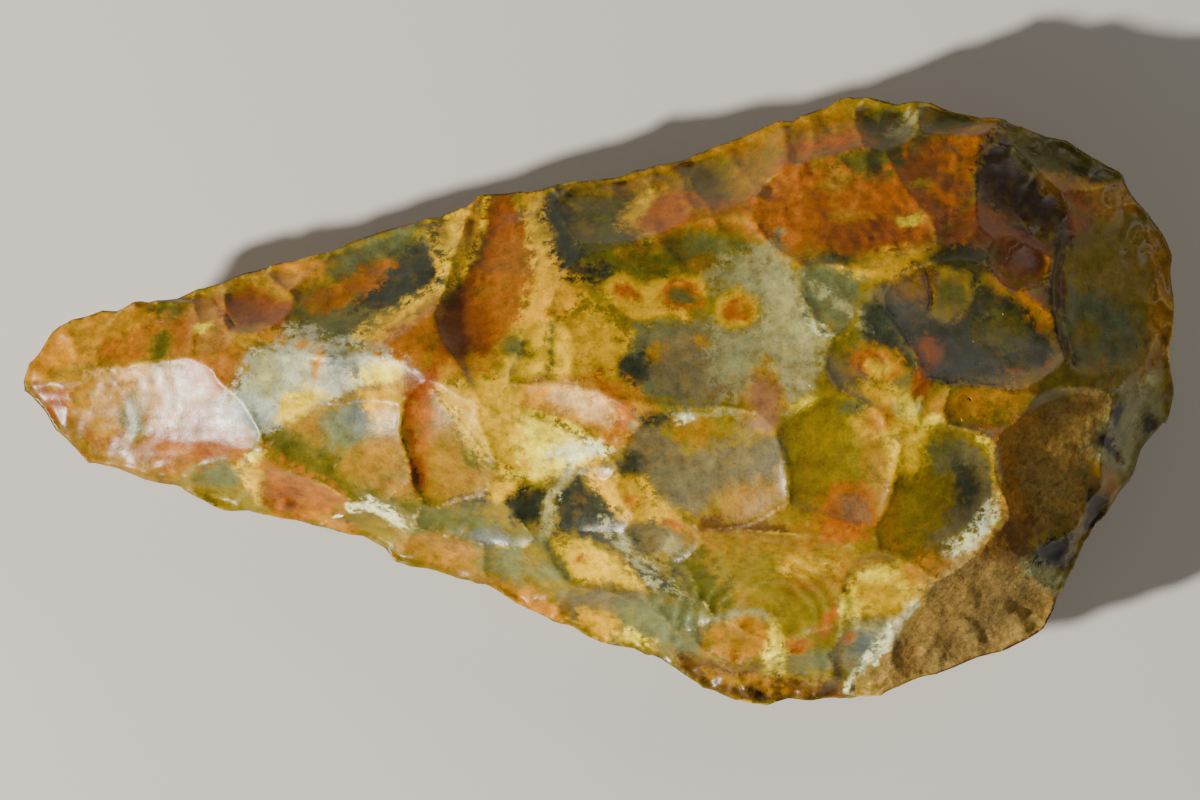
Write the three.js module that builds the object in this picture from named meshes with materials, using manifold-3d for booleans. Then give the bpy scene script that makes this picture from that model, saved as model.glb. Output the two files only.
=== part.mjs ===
// A large pointed hand axe knapped from one flint cobble, lying on its back face.
// +X runs along its length to the butt, so the point is at -X. +Z is up, out of the front face.
// The origin is on the table under the middle of its footprint.
// It is made as the real one was: a domed blank, and then one flake struck off after another.
import * as THREE from 'three';
import Module from 'manifold-3d';

// Sizes in mm. The axe is a free form, so everything about it is a share of its length.
const LENGTH = 184;
const BREADTH = 0.5272 * LENGTH;
const EDGE_HEIGHT = 0.1087 * LENGTH;   // cutting edge above the table
const FRONT_RISE = 0.1467 * LENGTH;    // crown of the blank's front above the edge
const BACK_DROP = 0.113 * LENGTH;      // crown of the blank's back below the edge
const SIDE_FULLNESS = 2.0;             // power of the dome towards the sides and the point
const BUTT_FULLNESS = 2.6;             // and towards the butt, which stays thick

// Fineness
const EDGE_STEP = 0.0207 * LENGTH;                                 // between points along the edge
const FACET = { front: 0.0283 * LENGTH, back: 0.0408 * LENGTH };   // side of a facet in a scar

// The drawing has 184 squares along the axe and 97 across, from its middle.
// The blank is a little larger than the axe, because the scars bite into its rim.
const SQUARE = LENGTH / 184;
const BITE = 0.0019 * LENGTH;
const ALONG = (LENGTH + 2 * BITE) / 184;
const ACROSS = (BREADTH + 2 * BITE) / 97;
const FRONT_CROWN = [35, 0];
const BACK_CROWN = [20, -1];

// Corners of the outline in squares: from the point over the far edge to the butt, and back along
// the near edge.
const OUTLINE = [
  [-92.7, 3.6], [-91.4, 8.0], [-87.2, 12.1], [-81.9, 14.5], [-75.2, 16.3], [-71.5, 15.5], [-66.2, 17.2],
  [-59.4, 19.3], [-55.0, 20.8], [-49.6, 23.7], [-45.3, 23.2], [-40.2, 25.3], [-33.5, 28.2], [-25.8, 29.5],
  [-19.8, 33.5], [-12.0, 33.7], [-4.6, 35.3], [3.4, 35.5], [9.8, 38.5], [12.7, 38.2], [18.8, 41.0],
  [26.5, 44.6], [29.1, 44.4], [35.3, 47.7], [38.6, 48.6], [46.4, 48.6], [50.0, 47.4], [54.0, 48.4],
  [57.5, 46.3], [64.9, 45.3], [67.4, 43.6], [72.6, 43.2], [80.5, 39.0], [84.5, 34.6], [87.0, 30.6],
  [91.2, 26.2], [92.1, 17.6], [91.3, 10.8], [92.0, 7.0], [91.5, -1.6], [90.7, -5.0], [87.0, -7.9],
  [86.4, -10.9], [84.5, -15.7], [78.0, -21.1], [76.3, -25.2], [73.9, -33.2], [71.2, -39.0], [62.4, -41.5],
  [54.9, -44.9], [51.0, -45.3], [47.4, -46.8], [39.0, -47.8], [30.4, -48.5], [20.8, -48.7], [13.6, -45.2],
  [9.0, -41.1], [0.1, -38.6], [-6.3, -35.6], [-9.7, -34.9], [-17.0, -30.4], [-25.5, -28.0], [-33.4, -25.8],
  [-37.8, -22.5], [-46.5, -19.9], [-52.5, -19.1], [-57.8, -17.8], [-60.7, -18.3], [-66.6, -14.5], [-68.8, -13.2],
  [-74.3, -13.3], [-80.9, -12.0], [-85.0, -8.4], [-88.6, -5.5], [-91.6, -0.6],
];

// Scars of the front face in squares: middle x, y, half length, half width, bearing in degrees,
// depth in mm, how steep the wall is (2 is an even hollow, 4 is a step), and how much deeper the scar is
// at its near end than at the end that its bearing points to.
const FRONT_SCARS = [
  // the point
  [-71, -4, 18, 10.5, 4, 2.2, 2], [-88.2, -2.2, 5.6, 4.8, -40, 1, 3], [-87, 8.2, 6.5, 3.8, 45, 0.9, 2],
  [-80.5, 11.6, 7, 4.2, 22, 1, 2], [-70.5, 11, 12, 5.8, 12, 1.7, 2], [-62, 13, 6.5, 4.8, 80, 1.5, 2],
  [-54.5, 15, 8, 4.8, 10, 1.8, 2.4], [-47.5, 20.8, 8.5, 4, 22, 1.3, 2], [-45, 1.8, 17, 7.6, -3, 1.5, 2],
  // between the point and the middle
  [-37.5, 17, 19, 9.5, 27, 2.5, 2], [-23.5, 26.5, 10, 5.2, 80, 1.5, 2],
  [-14.5, 19.5, 10.5, 18.5, -16, 2.2, 3, 0.7], [-40.5, -6.5, 13, 9.8, -15, 2.2, 2],
  [-24.5, -7.5, 7.5, 10.5, 20, 1.9, 3, 0.6], [-9, -8, 12, 5.2, -24, 1.6, 2],
  [-6, -1.2, 13, 4.2, -12, 1.3, 2], [-7, 8, 11, 7, 20, 1.6, 2],
  // the broad middle
  [14, 12.5, 25, 15, 4, 2.9, 2.2], [17, -10.5, 15, 10.2, 0, 2.1, 2.4],
  [38.5, -9, 11.5, 10.5, 10, 2.4, 2, 0.3], [27, -29.5, 9.5, 16, -96, 2, 3, -0.7],
  [53.5, -15, 11, 13, -15, 2.3, 3, -0.5], [43, -31, 10.5, 7, 40, 1.7, 2], [49, -3, 8, 6, 30, 1.3, 2],
  [44, 5, 8.5, 9, 0, 1.7, 2], [36.5, 15.8, 6.4, 6.6, 20, 1.3, 3, 0.6],
  // the far edge of the broad end
  [4, 31.5, 14, 6.2, 12, 1.9, 2], [20.5, 37, 12, 5.4, 25, 1.9, 2], [35.5, 43, 8, 5, 28, 1.6, 2],
  [45.5, 44.5, 6.5, 5, 0, 1.8, 2], [56, 45.4, 8, 3.8, -6, 1.5, 2], [40, 29.5, 18, 9.5, 8, 1.9, 2],
  [54, 34, 10.5, 9, 15, 1.8, 2], [65.5, 32, 11, 7.2, -45, 2.6, 2.4, -0.5], [66, 22.5, 5, 6, 0, 1.6, 2.6],
  [58, 11, 15, 10, -14, 2.1, 2], [60, -2, 10, 4.6, 0, 1.2, 2], [74.5, 38, 10, 6, -32, 2.2, 2],
  // the butt, with the great hollow behind the crevice and the two hollows of chalky rind
  [82, 17.5, 10.5, 14.5, -4, 2.9, 4, 0.75], [79, 30, 7, 6.5, 0, 2, 2], [89, 21, 8.5, 3.6, 100, 1.5, 2],
  [89.5, 6, 8, 3.8, 88, 1.4, 2], [72, -10, 9.5, 13, -20, 2.9, 4, 0.6], [60, -36.5, 17, 10.5, 22, 2.6, 2.6],
  [72, -26, 5.4, 4, 50, 1.2, 2], [85, -7, 13, 6.6, 75, 2, 2], [79, -17.5, 5, 3.6, 40, 1.2, 2],
  // the near edge
  [-60.5, -13, 6, 4.4, -14, 1.4, 2.6], [-46.5, -15.8, 9, 4.4, -10, 1.6, 2],
  [-35, -21, 6.4, 5.2, -38, 1.8, 2.6], [-25, -24.8, 9.5, 4.2, -14, 1.6, 2],
  [-20, -19.6, 9.5, 4, -10, 1.5, 2], [-13, -28, 8.5, 4.4, -30, 1.6, 2], [-5, -16.5, 9.5, 7, -24, 1.8, 2],
  [1, -25.8, 13, 5.4, -30, 1.9, 2], [3, -34.5, 10, 5.2, -24, 1.8, 2], [10, -22, 6, 5.2, 0, 1.4, 2],
  [12.5, -30.5, 8, 5.4, -30, 1.8, 2], [22, -37.5, 7.5, 4.6, -4, 1.6, 2.6],
  [17.5, -43.2, 7.5, 3.8, -32, 1.4, 2], [30, -43.8, 9, 4.4, 8, 1.6, 2], [34, -37, 7.5, 4.6, 10, 1.4, 2],
  [41.5, -39.5, 7, 6.4, 30, 1.6, 2],
];

// A repeatable scatter between 0 and 1 for the small scars, which nobody placed one by one.
const scatter = n => { const s = Math.sin(n * 12.9898 + 4.1) * 43758.5453; return s - Math.floor(s); };
const clamp = (v, low, high) => Math.min(high, Math.max(low, v));
const ease = (from, to, v) => { const u = clamp((v - from) / (to - from), 0, 1); return u * u * (3 - 2 * u); };
const toMm = ([x, y]) => [x * ALONG, y * ACROSS];

// A smooth closed curve through the corners, as points about one step apart.
function curveThrough(corners, step) {
  const points = corners.map(([x, y]) => new THREE.Vector3(x, y, 0));
  const closed = new THREE.CatmullRomCurve3(points, true, 'centripetal');
  const count = Math.round(closed.getLength() / step);
  return closed.getSpacedPoints(count).slice(0, count).map(p => [p.x, p.y]);
}

// The same closed line with its small bends ironed out, for the body of the blank.
function ironed(line, rounds) {
  let soft = line;
  for (let round = 0; round < rounds; round++) {
    soft = soft.map((p, i) => {
      const before = soft[(i + soft.length - 1) % soft.length], after = soft[(i + 1) % soft.length];
      return [0, 1].map(k => (before[k] + 2 * p[k] + after[k]) / 4);
    });
  }
  return soft;
}

// How far the line lies from a centre in one direction.
function reach(line, centre, heading) {
  const dx = Math.cos(heading), dy = Math.sin(heading);
  let far = 0;
  for (let i = 0; i < line.length; i++) {
    const a = line[i], b = line[(i + 1) % line.length];
    const ax = a[0] - centre[0], ay = a[1] - centre[1], ex = b[0] - a[0], ey = b[1] - a[1];
    const turn = dx * ey - dy * ex;
    if (turn === 0) continue;
    const along = (ax * ey - ay * ex) / turn, share = (ax * dy - ay * dx) / turn;
    if (along > 0 && share >= -1e-9 && share <= 1 + 1e-9) far = Math.max(far, along);
  }
  return far;
}

const rim = curveThrough(OUTLINE.map(toMm), EDGE_STEP);
const softRim = ironed(rim, 10);

// The body follows the soft rim, and goes over to the true rim in the last stretch of the way out.
const hardness = out => ease(0.92, 1, out);

// No two scars have the same border: it swells and shrinks a little on its way round.
const border = (angle, seed) =>
  1 + 0.07 * Math.sin(3 * angle + seed * 2.3) + 0.045 * Math.sin(5 * angle + seed * 4.1);

class Face {
  constructor(side, crown, height) {
    this.side = side;
    this.crown = toMm(crown);
    this.height = height;
  }
  // Share of the way from the crown to the rim at a place, 1 on the rim.
  out(x, y) {
    const dx = x - this.crown[0], dy = y - this.crown[1], heading = Math.atan2(dy, dx);
    const hard = reach(rim, this.crown, heading), soft = reach(softRim, this.crown, heading);
    let out = Math.hypot(dx, dy) / hard;
    for (let i = 0; i < 4; i++) out = Math.hypot(dx, dy) / (soft + (hard - soft) * hardness(out));
    return out;
  }
  // Height of the blank at a place that is that share of the way out.
  level(x, y, out) {
    const heading = Math.atan2(y - this.crown[1], x - this.crown[0]);
    const power = SIDE_FULLNESS + (BUTT_FULLNESS - SIDE_FULLNESS) * Math.max(0, Math.cos(heading)) ** 2;
    const rise = this.side * this.height * (1 - out ** power);
    return EDGE_HEIGHT + edgeWander(x, y) * Math.min(1.1, out) ** 3 + rise;
  }
  blank(x, y) { return this.level(x, y, this.out(x, y)); }
}

// The edge isn't quite in one plane: it weaves a little up and down on its way round.
function edgeWander(x, y) {
  const [cx, cy] = toMm(FRONT_CROWN), heading = Math.atan2(y - cy, x - cx);
  const weave = Math.sin(2 * heading + 0.6) + 0.7 * Math.sin(5 * heading + 2) + 0.35 * Math.sin(9 * heading);
  return SQUARE * weave;
}

const front = new Face(1, FRONT_CROWN, FRONT_RISE);
const back = new Face(-1, BACK_CROWN, BACK_DROP);

const wasm = await Module();
wasm.setup();

// A closed body in manifold-3d from points and triangles.
function bodyOf(points, triangles) {
  return new wasm.Manifold(new wasm.Mesh({
    numProp: 3, vertProperties: new Float32Array(points.flat()), triVerts: new Uint32Array(triangles.flat()),
  }));
}

// Triangles between two closed rings of vertex numbers, an outer and an inner, that may differ in count.
function stitch(outer, inner, flip, triangles) {
  let i = 0, j = 0;
  while (i < outer.length || j < inner.length) {
    const a = outer[i % outer.length], b = inner[j % inner.length];
    const outerIsNext = (i + 1) / outer.length <= (j + 1) / inner.length;
    const stepOuter = j >= inner.length || (i < outer.length && outerIsNext);
    const c = stepOuter ? outer[++i % outer.length] : inner[++j % inner.length];
    triangles.push(flip ? [a, b, c] : [a, c, b]);
  }
}

// The blank: both domes meet in the rim. A ring is at a share of the way out and takes every so many
// points of the rim.
function makeBlank() {
  const points = [], triangles = [];
  const add = p => points.push(p) - 1;
  const rimRing = rim.map(([x, y]) => add([x, y, EDGE_HEIGHT + edgeWander(x, y)]));
  for (const face of [front, back]) {
    let outer = rimRing;
    for (const [out, every] of
      [[0.965, 1], [0.92, 1], [0.84, 2], [0.73, 2], [0.6, 3], [0.44, 4], [0.28, 6], [0.13, 12]]) {
      const ring = [];
      for (let i = 0; i < rim.length; i += every) {
        const [x, y] = [0, 1].map(k => face.crown[k]
          + out * (softRim[i][k] + (rim[i][k] - softRim[i][k]) * hardness(out) - face.crown[k]));
        ring.push(add([x, y, face.level(x, y, out)]));
      }
      stitch(outer, ring, face.side > 0, triangles);
      outer = ring;
    }
    const top = add([...face.crown, face.level(...face.crown, 0)]);
    outer.forEach((v, i) => {
      const next = outer[(i + 1) % outer.length];
      triangles.push(face.side > 0 ? [v, top, next] : [v, next, top]);
    });
  }
  return bodyOf(points, triangles);
}

// The body that one flake takes away. Its inside is the scar, and it stands well clear of the face.
function flake(face, [cx, cy, length, width, bearing, depth, steepness, lean = 0]) {
  const turn = bearing * Math.PI / 180, [mx, my] = toMm([cx, cy]);
  const size = SQUARE * Math.sqrt(length * width), facet = face.side > 0 ? FACET.front : FACET.back;
  const around = Math.max(8, Math.round(2 * Math.PI * size / facet));
  const inward = Math.max(1, Math.round(size / facet));
  const rings = [1.12];
  if (steepness >= 3) rings.push(0.92, 0.75);
  for (let k = inward - 1; k >= 1; k--) rings.push((steepness >= 3 ? 0.75 : 0.98) * k / inward);
  if (rings.length < 2 && size > 0.0196 * LENGTH) rings.push(0.55);
  const points = [], triangles = [];
  const add = (rho, angle) => {
    const swell = rho * border(angle, cx + cy), u = swell * Math.cos(angle), v = swell * Math.sin(angle);
    const x = mx + (u * length * Math.cos(turn) - v * width * Math.sin(turn)) * ALONG;
    const y = my + (u * length * Math.sin(turn) + v * width * Math.cos(turn)) * ACROSS;
    const deep = SQUARE * depth * (1 - lean * clamp(u, -1.2, 1.2));
    const z = face.blank(x, y) + face.side * deep * (rho ** steepness - 1);
    return points.push([x, y, z]) - 1;
  };
  let outer = null;
  for (const rho of rings) {
    const ring = [];
    const count = Math.max(6, Math.round(around * Math.min(1, 0.35 + 0.65 * rho)));
    for (let i = 0; i < count; i++) ring.push(add(rho, 2 * Math.PI * i / count));
    if (outer) stitch(outer, ring, face.side > 0, triangles);
    outer = ring;
  }
  const bottom = add(0, 0);
  outer.forEach((v, i) => {
    const next = outer[(i + 1) % outer.length];
    triangles.push(face.side > 0 ? [v, bottom, next] : [v, next, bottom]);
  });
  const first = Array.from({ length: Math.max(6, Math.round(around)) }, (_, i) => i);
  const lid = points.push([mx, my, EDGE_HEIGHT + face.side * 0.5 * LENGTH]) - 1;
  first.forEach((v, i) => {
    const next = first[(i + 1) % first.length];
    triangles.push(face.side > 0 ? [v, next, lid] : [v, lid, next]);
  });
  return bodyOf(points, triangles);
}

// Rows of scars along the edge, each struck inwards from the rim. Their sizes are in mm.
function edgeRow(face, { spacing, inset, length, width, depth, steepness, seed }) {
  const row = [];
  const count = Math.round(rim.length * EDGE_STEP / spacing);
  for (let i = 0; i < count; i++) {
    const random = k => scatter(seed + i * 7.3 + k);
    const [x, y] = rim[Math.floor((i + 0.6 * random(1)) / count * rim.length) % rim.length];
    const dx = face.crown[0] - x, dy = face.crown[1] - y, heading = Math.atan2(dy, dx);
    const size = 0.7 + 0.6 * random(2), inwards = inset * size, inSquares = size / SQUARE;
    const bite = Math.min(1, 0.3 * BREADTH / Math.hypot(dx, dy) + 0.25);   // shallower towards the thin point
    row.push([(x + Math.cos(heading) * inwards) / ALONG, (y + Math.sin(heading) * inwards) / ACROSS,
      length * inSquares, width * inSquares, heading * 180 / Math.PI + 30 * (random(3) - 0.5),
      depth * inSquares * bite, steepness]);
  }
  return row;
}

// The flakes come off one by one, the large ones first.
let axe = makeBlank();
const strike = (face, scars) => { for (const scar of scars) axe = axe.subtract(flake(face, scar)); };
strike(front, FRONT_SCARS);
const struckRow = (face, spacing, inset, length, width, depth, seed) => strike(face, edgeRow(face, {
  spacing: spacing * LENGTH, inset: inset * LENGTH, length: length * LENGTH, width: width * LENGTH,
  depth: depth * LENGTH, steepness: 2, seed }));
struckRow(front, 0.0353, 0.0065, 0.0196, 0.0163, 0.0049, 1);   // nibbles that trimmed the edge
struckRow(back, 0.1467, 0.1033, 0.1087, 0.0707, 0.0087, 2);    // long thinning flakes
struckRow(back, 0.0679, 0.0326, 0.0543, 0.0359, 0.0092, 3);    // short thinning flakes

// The flat that it rests on
const far = LENGTH;
const table = bodyOf(
  [[-far, -far, -far], [far, -far, -far], [far, far, -far], [-far, far, -far],
    [-far, -far, 0], [far, -far, 0], [far, far, 0], [-far, far, 0]],
  [[0, 2, 1], [0, 3, 2], [4, 5, 6], [4, 6, 7], [0, 1, 5], [0, 5, 4], [1, 2, 6], [1, 6, 5],
    [2, 3, 7], [2, 7, 6], [3, 0, 4], [3, 4, 7]]);
axe = axe.subtract(table);

const made = axe.getMesh();
const geometry = new THREE.BufferGeometry()
  .setAttribute('position', new THREE.BufferAttribute(made.vertProperties, 3))
  .setIndex(new THREE.BufferAttribute(made.triVerts, 1));
const flint = new THREE.MeshStandardMaterial({ color: 0xb08a45, roughness: 0.35, metalness: 0 });
const handAxe = new THREE.Mesh(geometry, flint);
handAxe.name = 'hand_axe';

const part = new THREE.Group();
part.add(handAxe);
export default part;
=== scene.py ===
# %% [markdown]
# # A stone hand axe, lying on its back face
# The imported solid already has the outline, the section and the main flake scars. This lesson turns a
# copy of it into the finished stone: a fine mesh whose scars are smooth hollows with crisp ridges,
# ripples, chips and cracks, and a glossy skin stained amber, rust, olive, slate and cream.

# %% Load the frame
import bpy
import bmesh
import math
import numpy as np
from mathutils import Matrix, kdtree


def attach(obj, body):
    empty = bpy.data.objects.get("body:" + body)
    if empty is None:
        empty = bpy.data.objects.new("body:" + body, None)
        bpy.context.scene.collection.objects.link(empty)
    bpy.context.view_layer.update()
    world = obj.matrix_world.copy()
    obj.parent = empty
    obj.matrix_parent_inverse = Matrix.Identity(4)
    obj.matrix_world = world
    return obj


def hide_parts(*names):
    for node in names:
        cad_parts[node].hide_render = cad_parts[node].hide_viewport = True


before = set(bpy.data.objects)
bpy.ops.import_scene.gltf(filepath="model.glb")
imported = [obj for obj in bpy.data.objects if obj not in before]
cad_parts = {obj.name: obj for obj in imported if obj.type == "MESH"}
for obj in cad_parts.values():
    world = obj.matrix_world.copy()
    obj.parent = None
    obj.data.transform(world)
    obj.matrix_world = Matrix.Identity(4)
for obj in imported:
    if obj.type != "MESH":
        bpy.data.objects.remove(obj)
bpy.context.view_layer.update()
MM = 0.001

# %% [markdown]
# ## The drawing that the solid was made from
# A knapper starts from a domed blank and strikes flakes off its edge. The solid was made in the same
# order from a drawing in squares of one millimetre, so the same drawing is used here to say where the
# surface lies between the solid's facets. First comes the outline.

# %% Outline
LENGTH = 184
BREADTH, BITE, EDGE_STEP = 0.5272 * LENGTH, 0.0019 * LENGTH, 0.0207 * LENGTH
EDGE_HEIGHT, FRONT_RISE, BACK_DROP = 0.1087 * LENGTH, 0.1467 * LENGTH, 0.113 * LENGTH
SIDE_FULLNESS, BUTT_FULLNESS = 2.0, 2.6
DRAWN_LENGTH, DRAWN_BREADTH = 184, 97       # of the outline's corners below
ALONG, ACROSS = (LENGTH + 2 * BITE) / DRAWN_LENGTH, (BREADTH + 2 * BITE) / DRAWN_BREADTH
FRONT_CROWN, BACK_CROWN = (35, 0), (20, -1)

OUTLINE = [
    (-92.7, 3.6), (-91.4, 8), (-87.2, 12.1), (-81.9, 14.5), (-75.2, 16.3), (-71.5, 15.5), (-66.2, 17.2),
    (-59.4, 19.3), (-55, 20.8), (-49.6, 23.7), (-45.3, 23.2), (-40.2, 25.3), (-33.5, 28.2), (-25.8, 29.5),
    (-19.8, 33.5), (-12, 33.7), (-4.6, 35.3), (3.4, 35.5), (9.8, 38.5), (12.7, 38.2), (18.8, 41),
    (26.5, 44.6), (29.1, 44.4), (35.3, 47.7), (38.6, 48.6), (46.4, 48.6), (50, 47.4), (54, 48.4),
    (57.5, 46.3), (64.9, 45.3), (67.4, 43.6), (72.6, 43.2), (80.5, 39), (84.5, 34.6), (87, 30.6),
    (91.2, 26.2), (92.1, 17.6), (91.3, 10.8), (92, 7), (91.5, -1.6), (90.7, -5), (87, -7.9),
    (86.4, -10.9), (84.5, -15.7), (78, -21.1), (76.3, -25.2), (73.9, -33.2), (71.2, -39), (62.4, -41.5),
    (54.9, -44.9), (51, -45.3), (47.4, -46.8), (39, -47.8), (30.4, -48.5), (20.8, -48.7), (13.6, -45.2),
    (9, -41.1), (0.1, -38.6), (-6.3, -35.6), (-9.7, -34.9), (-17, -30.4), (-25.5, -28), (-33.4, -25.8),
    (-37.8, -22.5), (-46.5, -19.9), (-52.5, -19.1), (-57.8, -17.8), (-60.7, -18.3),
    (-66.6, -14.5), (-68.8, -13.2),
    (-74.3, -13.3), (-80.9, -12), (-85, -8.4), (-88.6, -5.5), (-91.6, -0.6),
]
corners = np.array(OUTLINE) * (ALONG, ACROSS)
SAMPLES_A_CORNER, RIM_SOFTENING = 24, 10


def curve_through(corners, step):
    """A smooth closed curve through the corners, as points about one step apart."""
    dense = []
    for i in range(len(corners)):
        p = [corners[(i + k) % len(corners)] for k in (-1, 0, 1, 2)]
        knots = np.cumsum([0] + [np.hypot(*(p[k + 1] - p[k])) ** 0.5 for k in range(3)])
        for t in np.linspace(knots[1], knots[2], SAMPLES_A_CORNER, endpoint=False):
            def blend(a, b, ka, kb):
                return (a * (kb - t) + b * (t - ka)) / (kb - ka)
            one = [blend(p[k], p[k + 1], knots[k], knots[k + 1]) for k in range(3)]
            two = [blend(one[k], one[k + 1], knots[k], knots[k + 2]) for k in range(2)]
            dense.append(blend(two[0], two[1], knots[1], knots[2]))
    loop = np.vstack([dense, dense[:1]])
    run = np.concatenate([[0], np.cumsum(np.hypot(*np.diff(loop, axis=0).T))])
    marks = np.linspace(0, run[-1], round(run[-1] / step), endpoint=False)
    return np.column_stack([np.interp(marks, run, loop[:, k]) for k in (0, 1)])


rim = curve_through(corners, EDGE_STEP)
soft_rim = rim
for _ in range(RIM_SOFTENING):
    soft_rim = (np.roll(soft_rim, 1, 0) + 2 * soft_rim + np.roll(soft_rim, -1, 0)) / 4
print("outline", len(rim), "points")

# %% [markdown]
# ## The domed blank
# The knapper's cobble is first roughed out into two domes that meet in one edge. Such a shape could be
# sculpted, or spun from a profile and squeezed. Here it is a height for each place, because the scars
# can then be taken off it in the same way. How far out a place lies is measured from the crown, 0 there
# and 1 on the rim, and the height falls with a power of that, so the butt stays thick and the point thin.


# %% Height of the blank
RIM_ZONE = 0.92         # outside this share of the way out, the dome follows each nick of the rim


def ease(start, end, value):
    u = np.clip((value - start) / (end - start), 0, 1)
    return u * u * (3 - 2 * u)


def reach(line, centre, heading):
    """How far the line lies from a centre in each direction."""
    spokes = line - centre
    bearing = np.arctan2(spokes[:, 1], spokes[:, 0])
    order = np.argsort(bearing)
    after = np.searchsorted(bearing[order], heading) % len(line)
    a, b = spokes[order][after - 1], spokes[order][after]
    edge = b - a
    turn = np.cos(heading) * edge[:, 1] - np.sin(heading) * edge[:, 0]
    return (a[:, 0] * edge[:, 1] - a[:, 1] * edge[:, 0]) / turn


def edge_wander(x, y):
    heading = np.arctan2(y - FRONT_CROWN[1] * ACROSS, x - FRONT_CROWN[0] * ALONG)
    return np.sin(2 * heading + 0.6) + 0.7 * np.sin(5 * heading + 2) + 0.35 * np.sin(9 * heading)


def blank(x, y, side):
    """Height of the front dome (side 1) or the back dome (side -1) above the table, in mm."""
    crown = np.array(FRONT_CROWN if side > 0 else BACK_CROWN) * (ALONG, ACROSS)
    heading = np.arctan2(y - crown[1], x - crown[0])
    far = np.hypot(x - crown[0], y - crown[1])
    hard, soft = reach(rim, crown, heading), reach(soft_rim, crown, heading)
    out = far / hard
    for _ in range(4):
        out = far / (soft + (hard - soft) * ease(RIM_ZONE, 1, out))
    power = SIDE_FULLNESS + (BUTT_FULLNESS - SIDE_FULLNESS) * np.maximum(0, np.cos(heading)) ** 2
    rise = FRONT_RISE if side > 0 else -BACK_DROP
    return EDGE_HEIGHT + edge_wander(x, y) * np.minimum(1.1, out) ** 3 + rise * (1 - out ** power)


middle = np.zeros(1)
thick = (blank(middle, middle, 1) - blank(middle, middle, -1))[0]
print("blank", round(float(thick), 1), "mm thick at the middle")

# %% [markdown]
# ## The flake scars
# Every flake leaves a shallow hollow. A row says where its middle is, half its length and width, its
# bearing, its depth, how steep its wall is (2 is an even hollow, 4 a step) and how much deeper it is at
# its near end. A boolean could cut each one, as it did in the solid, but a height is quicker to change
# and stays smooth, however fine the mesh is.

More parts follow.
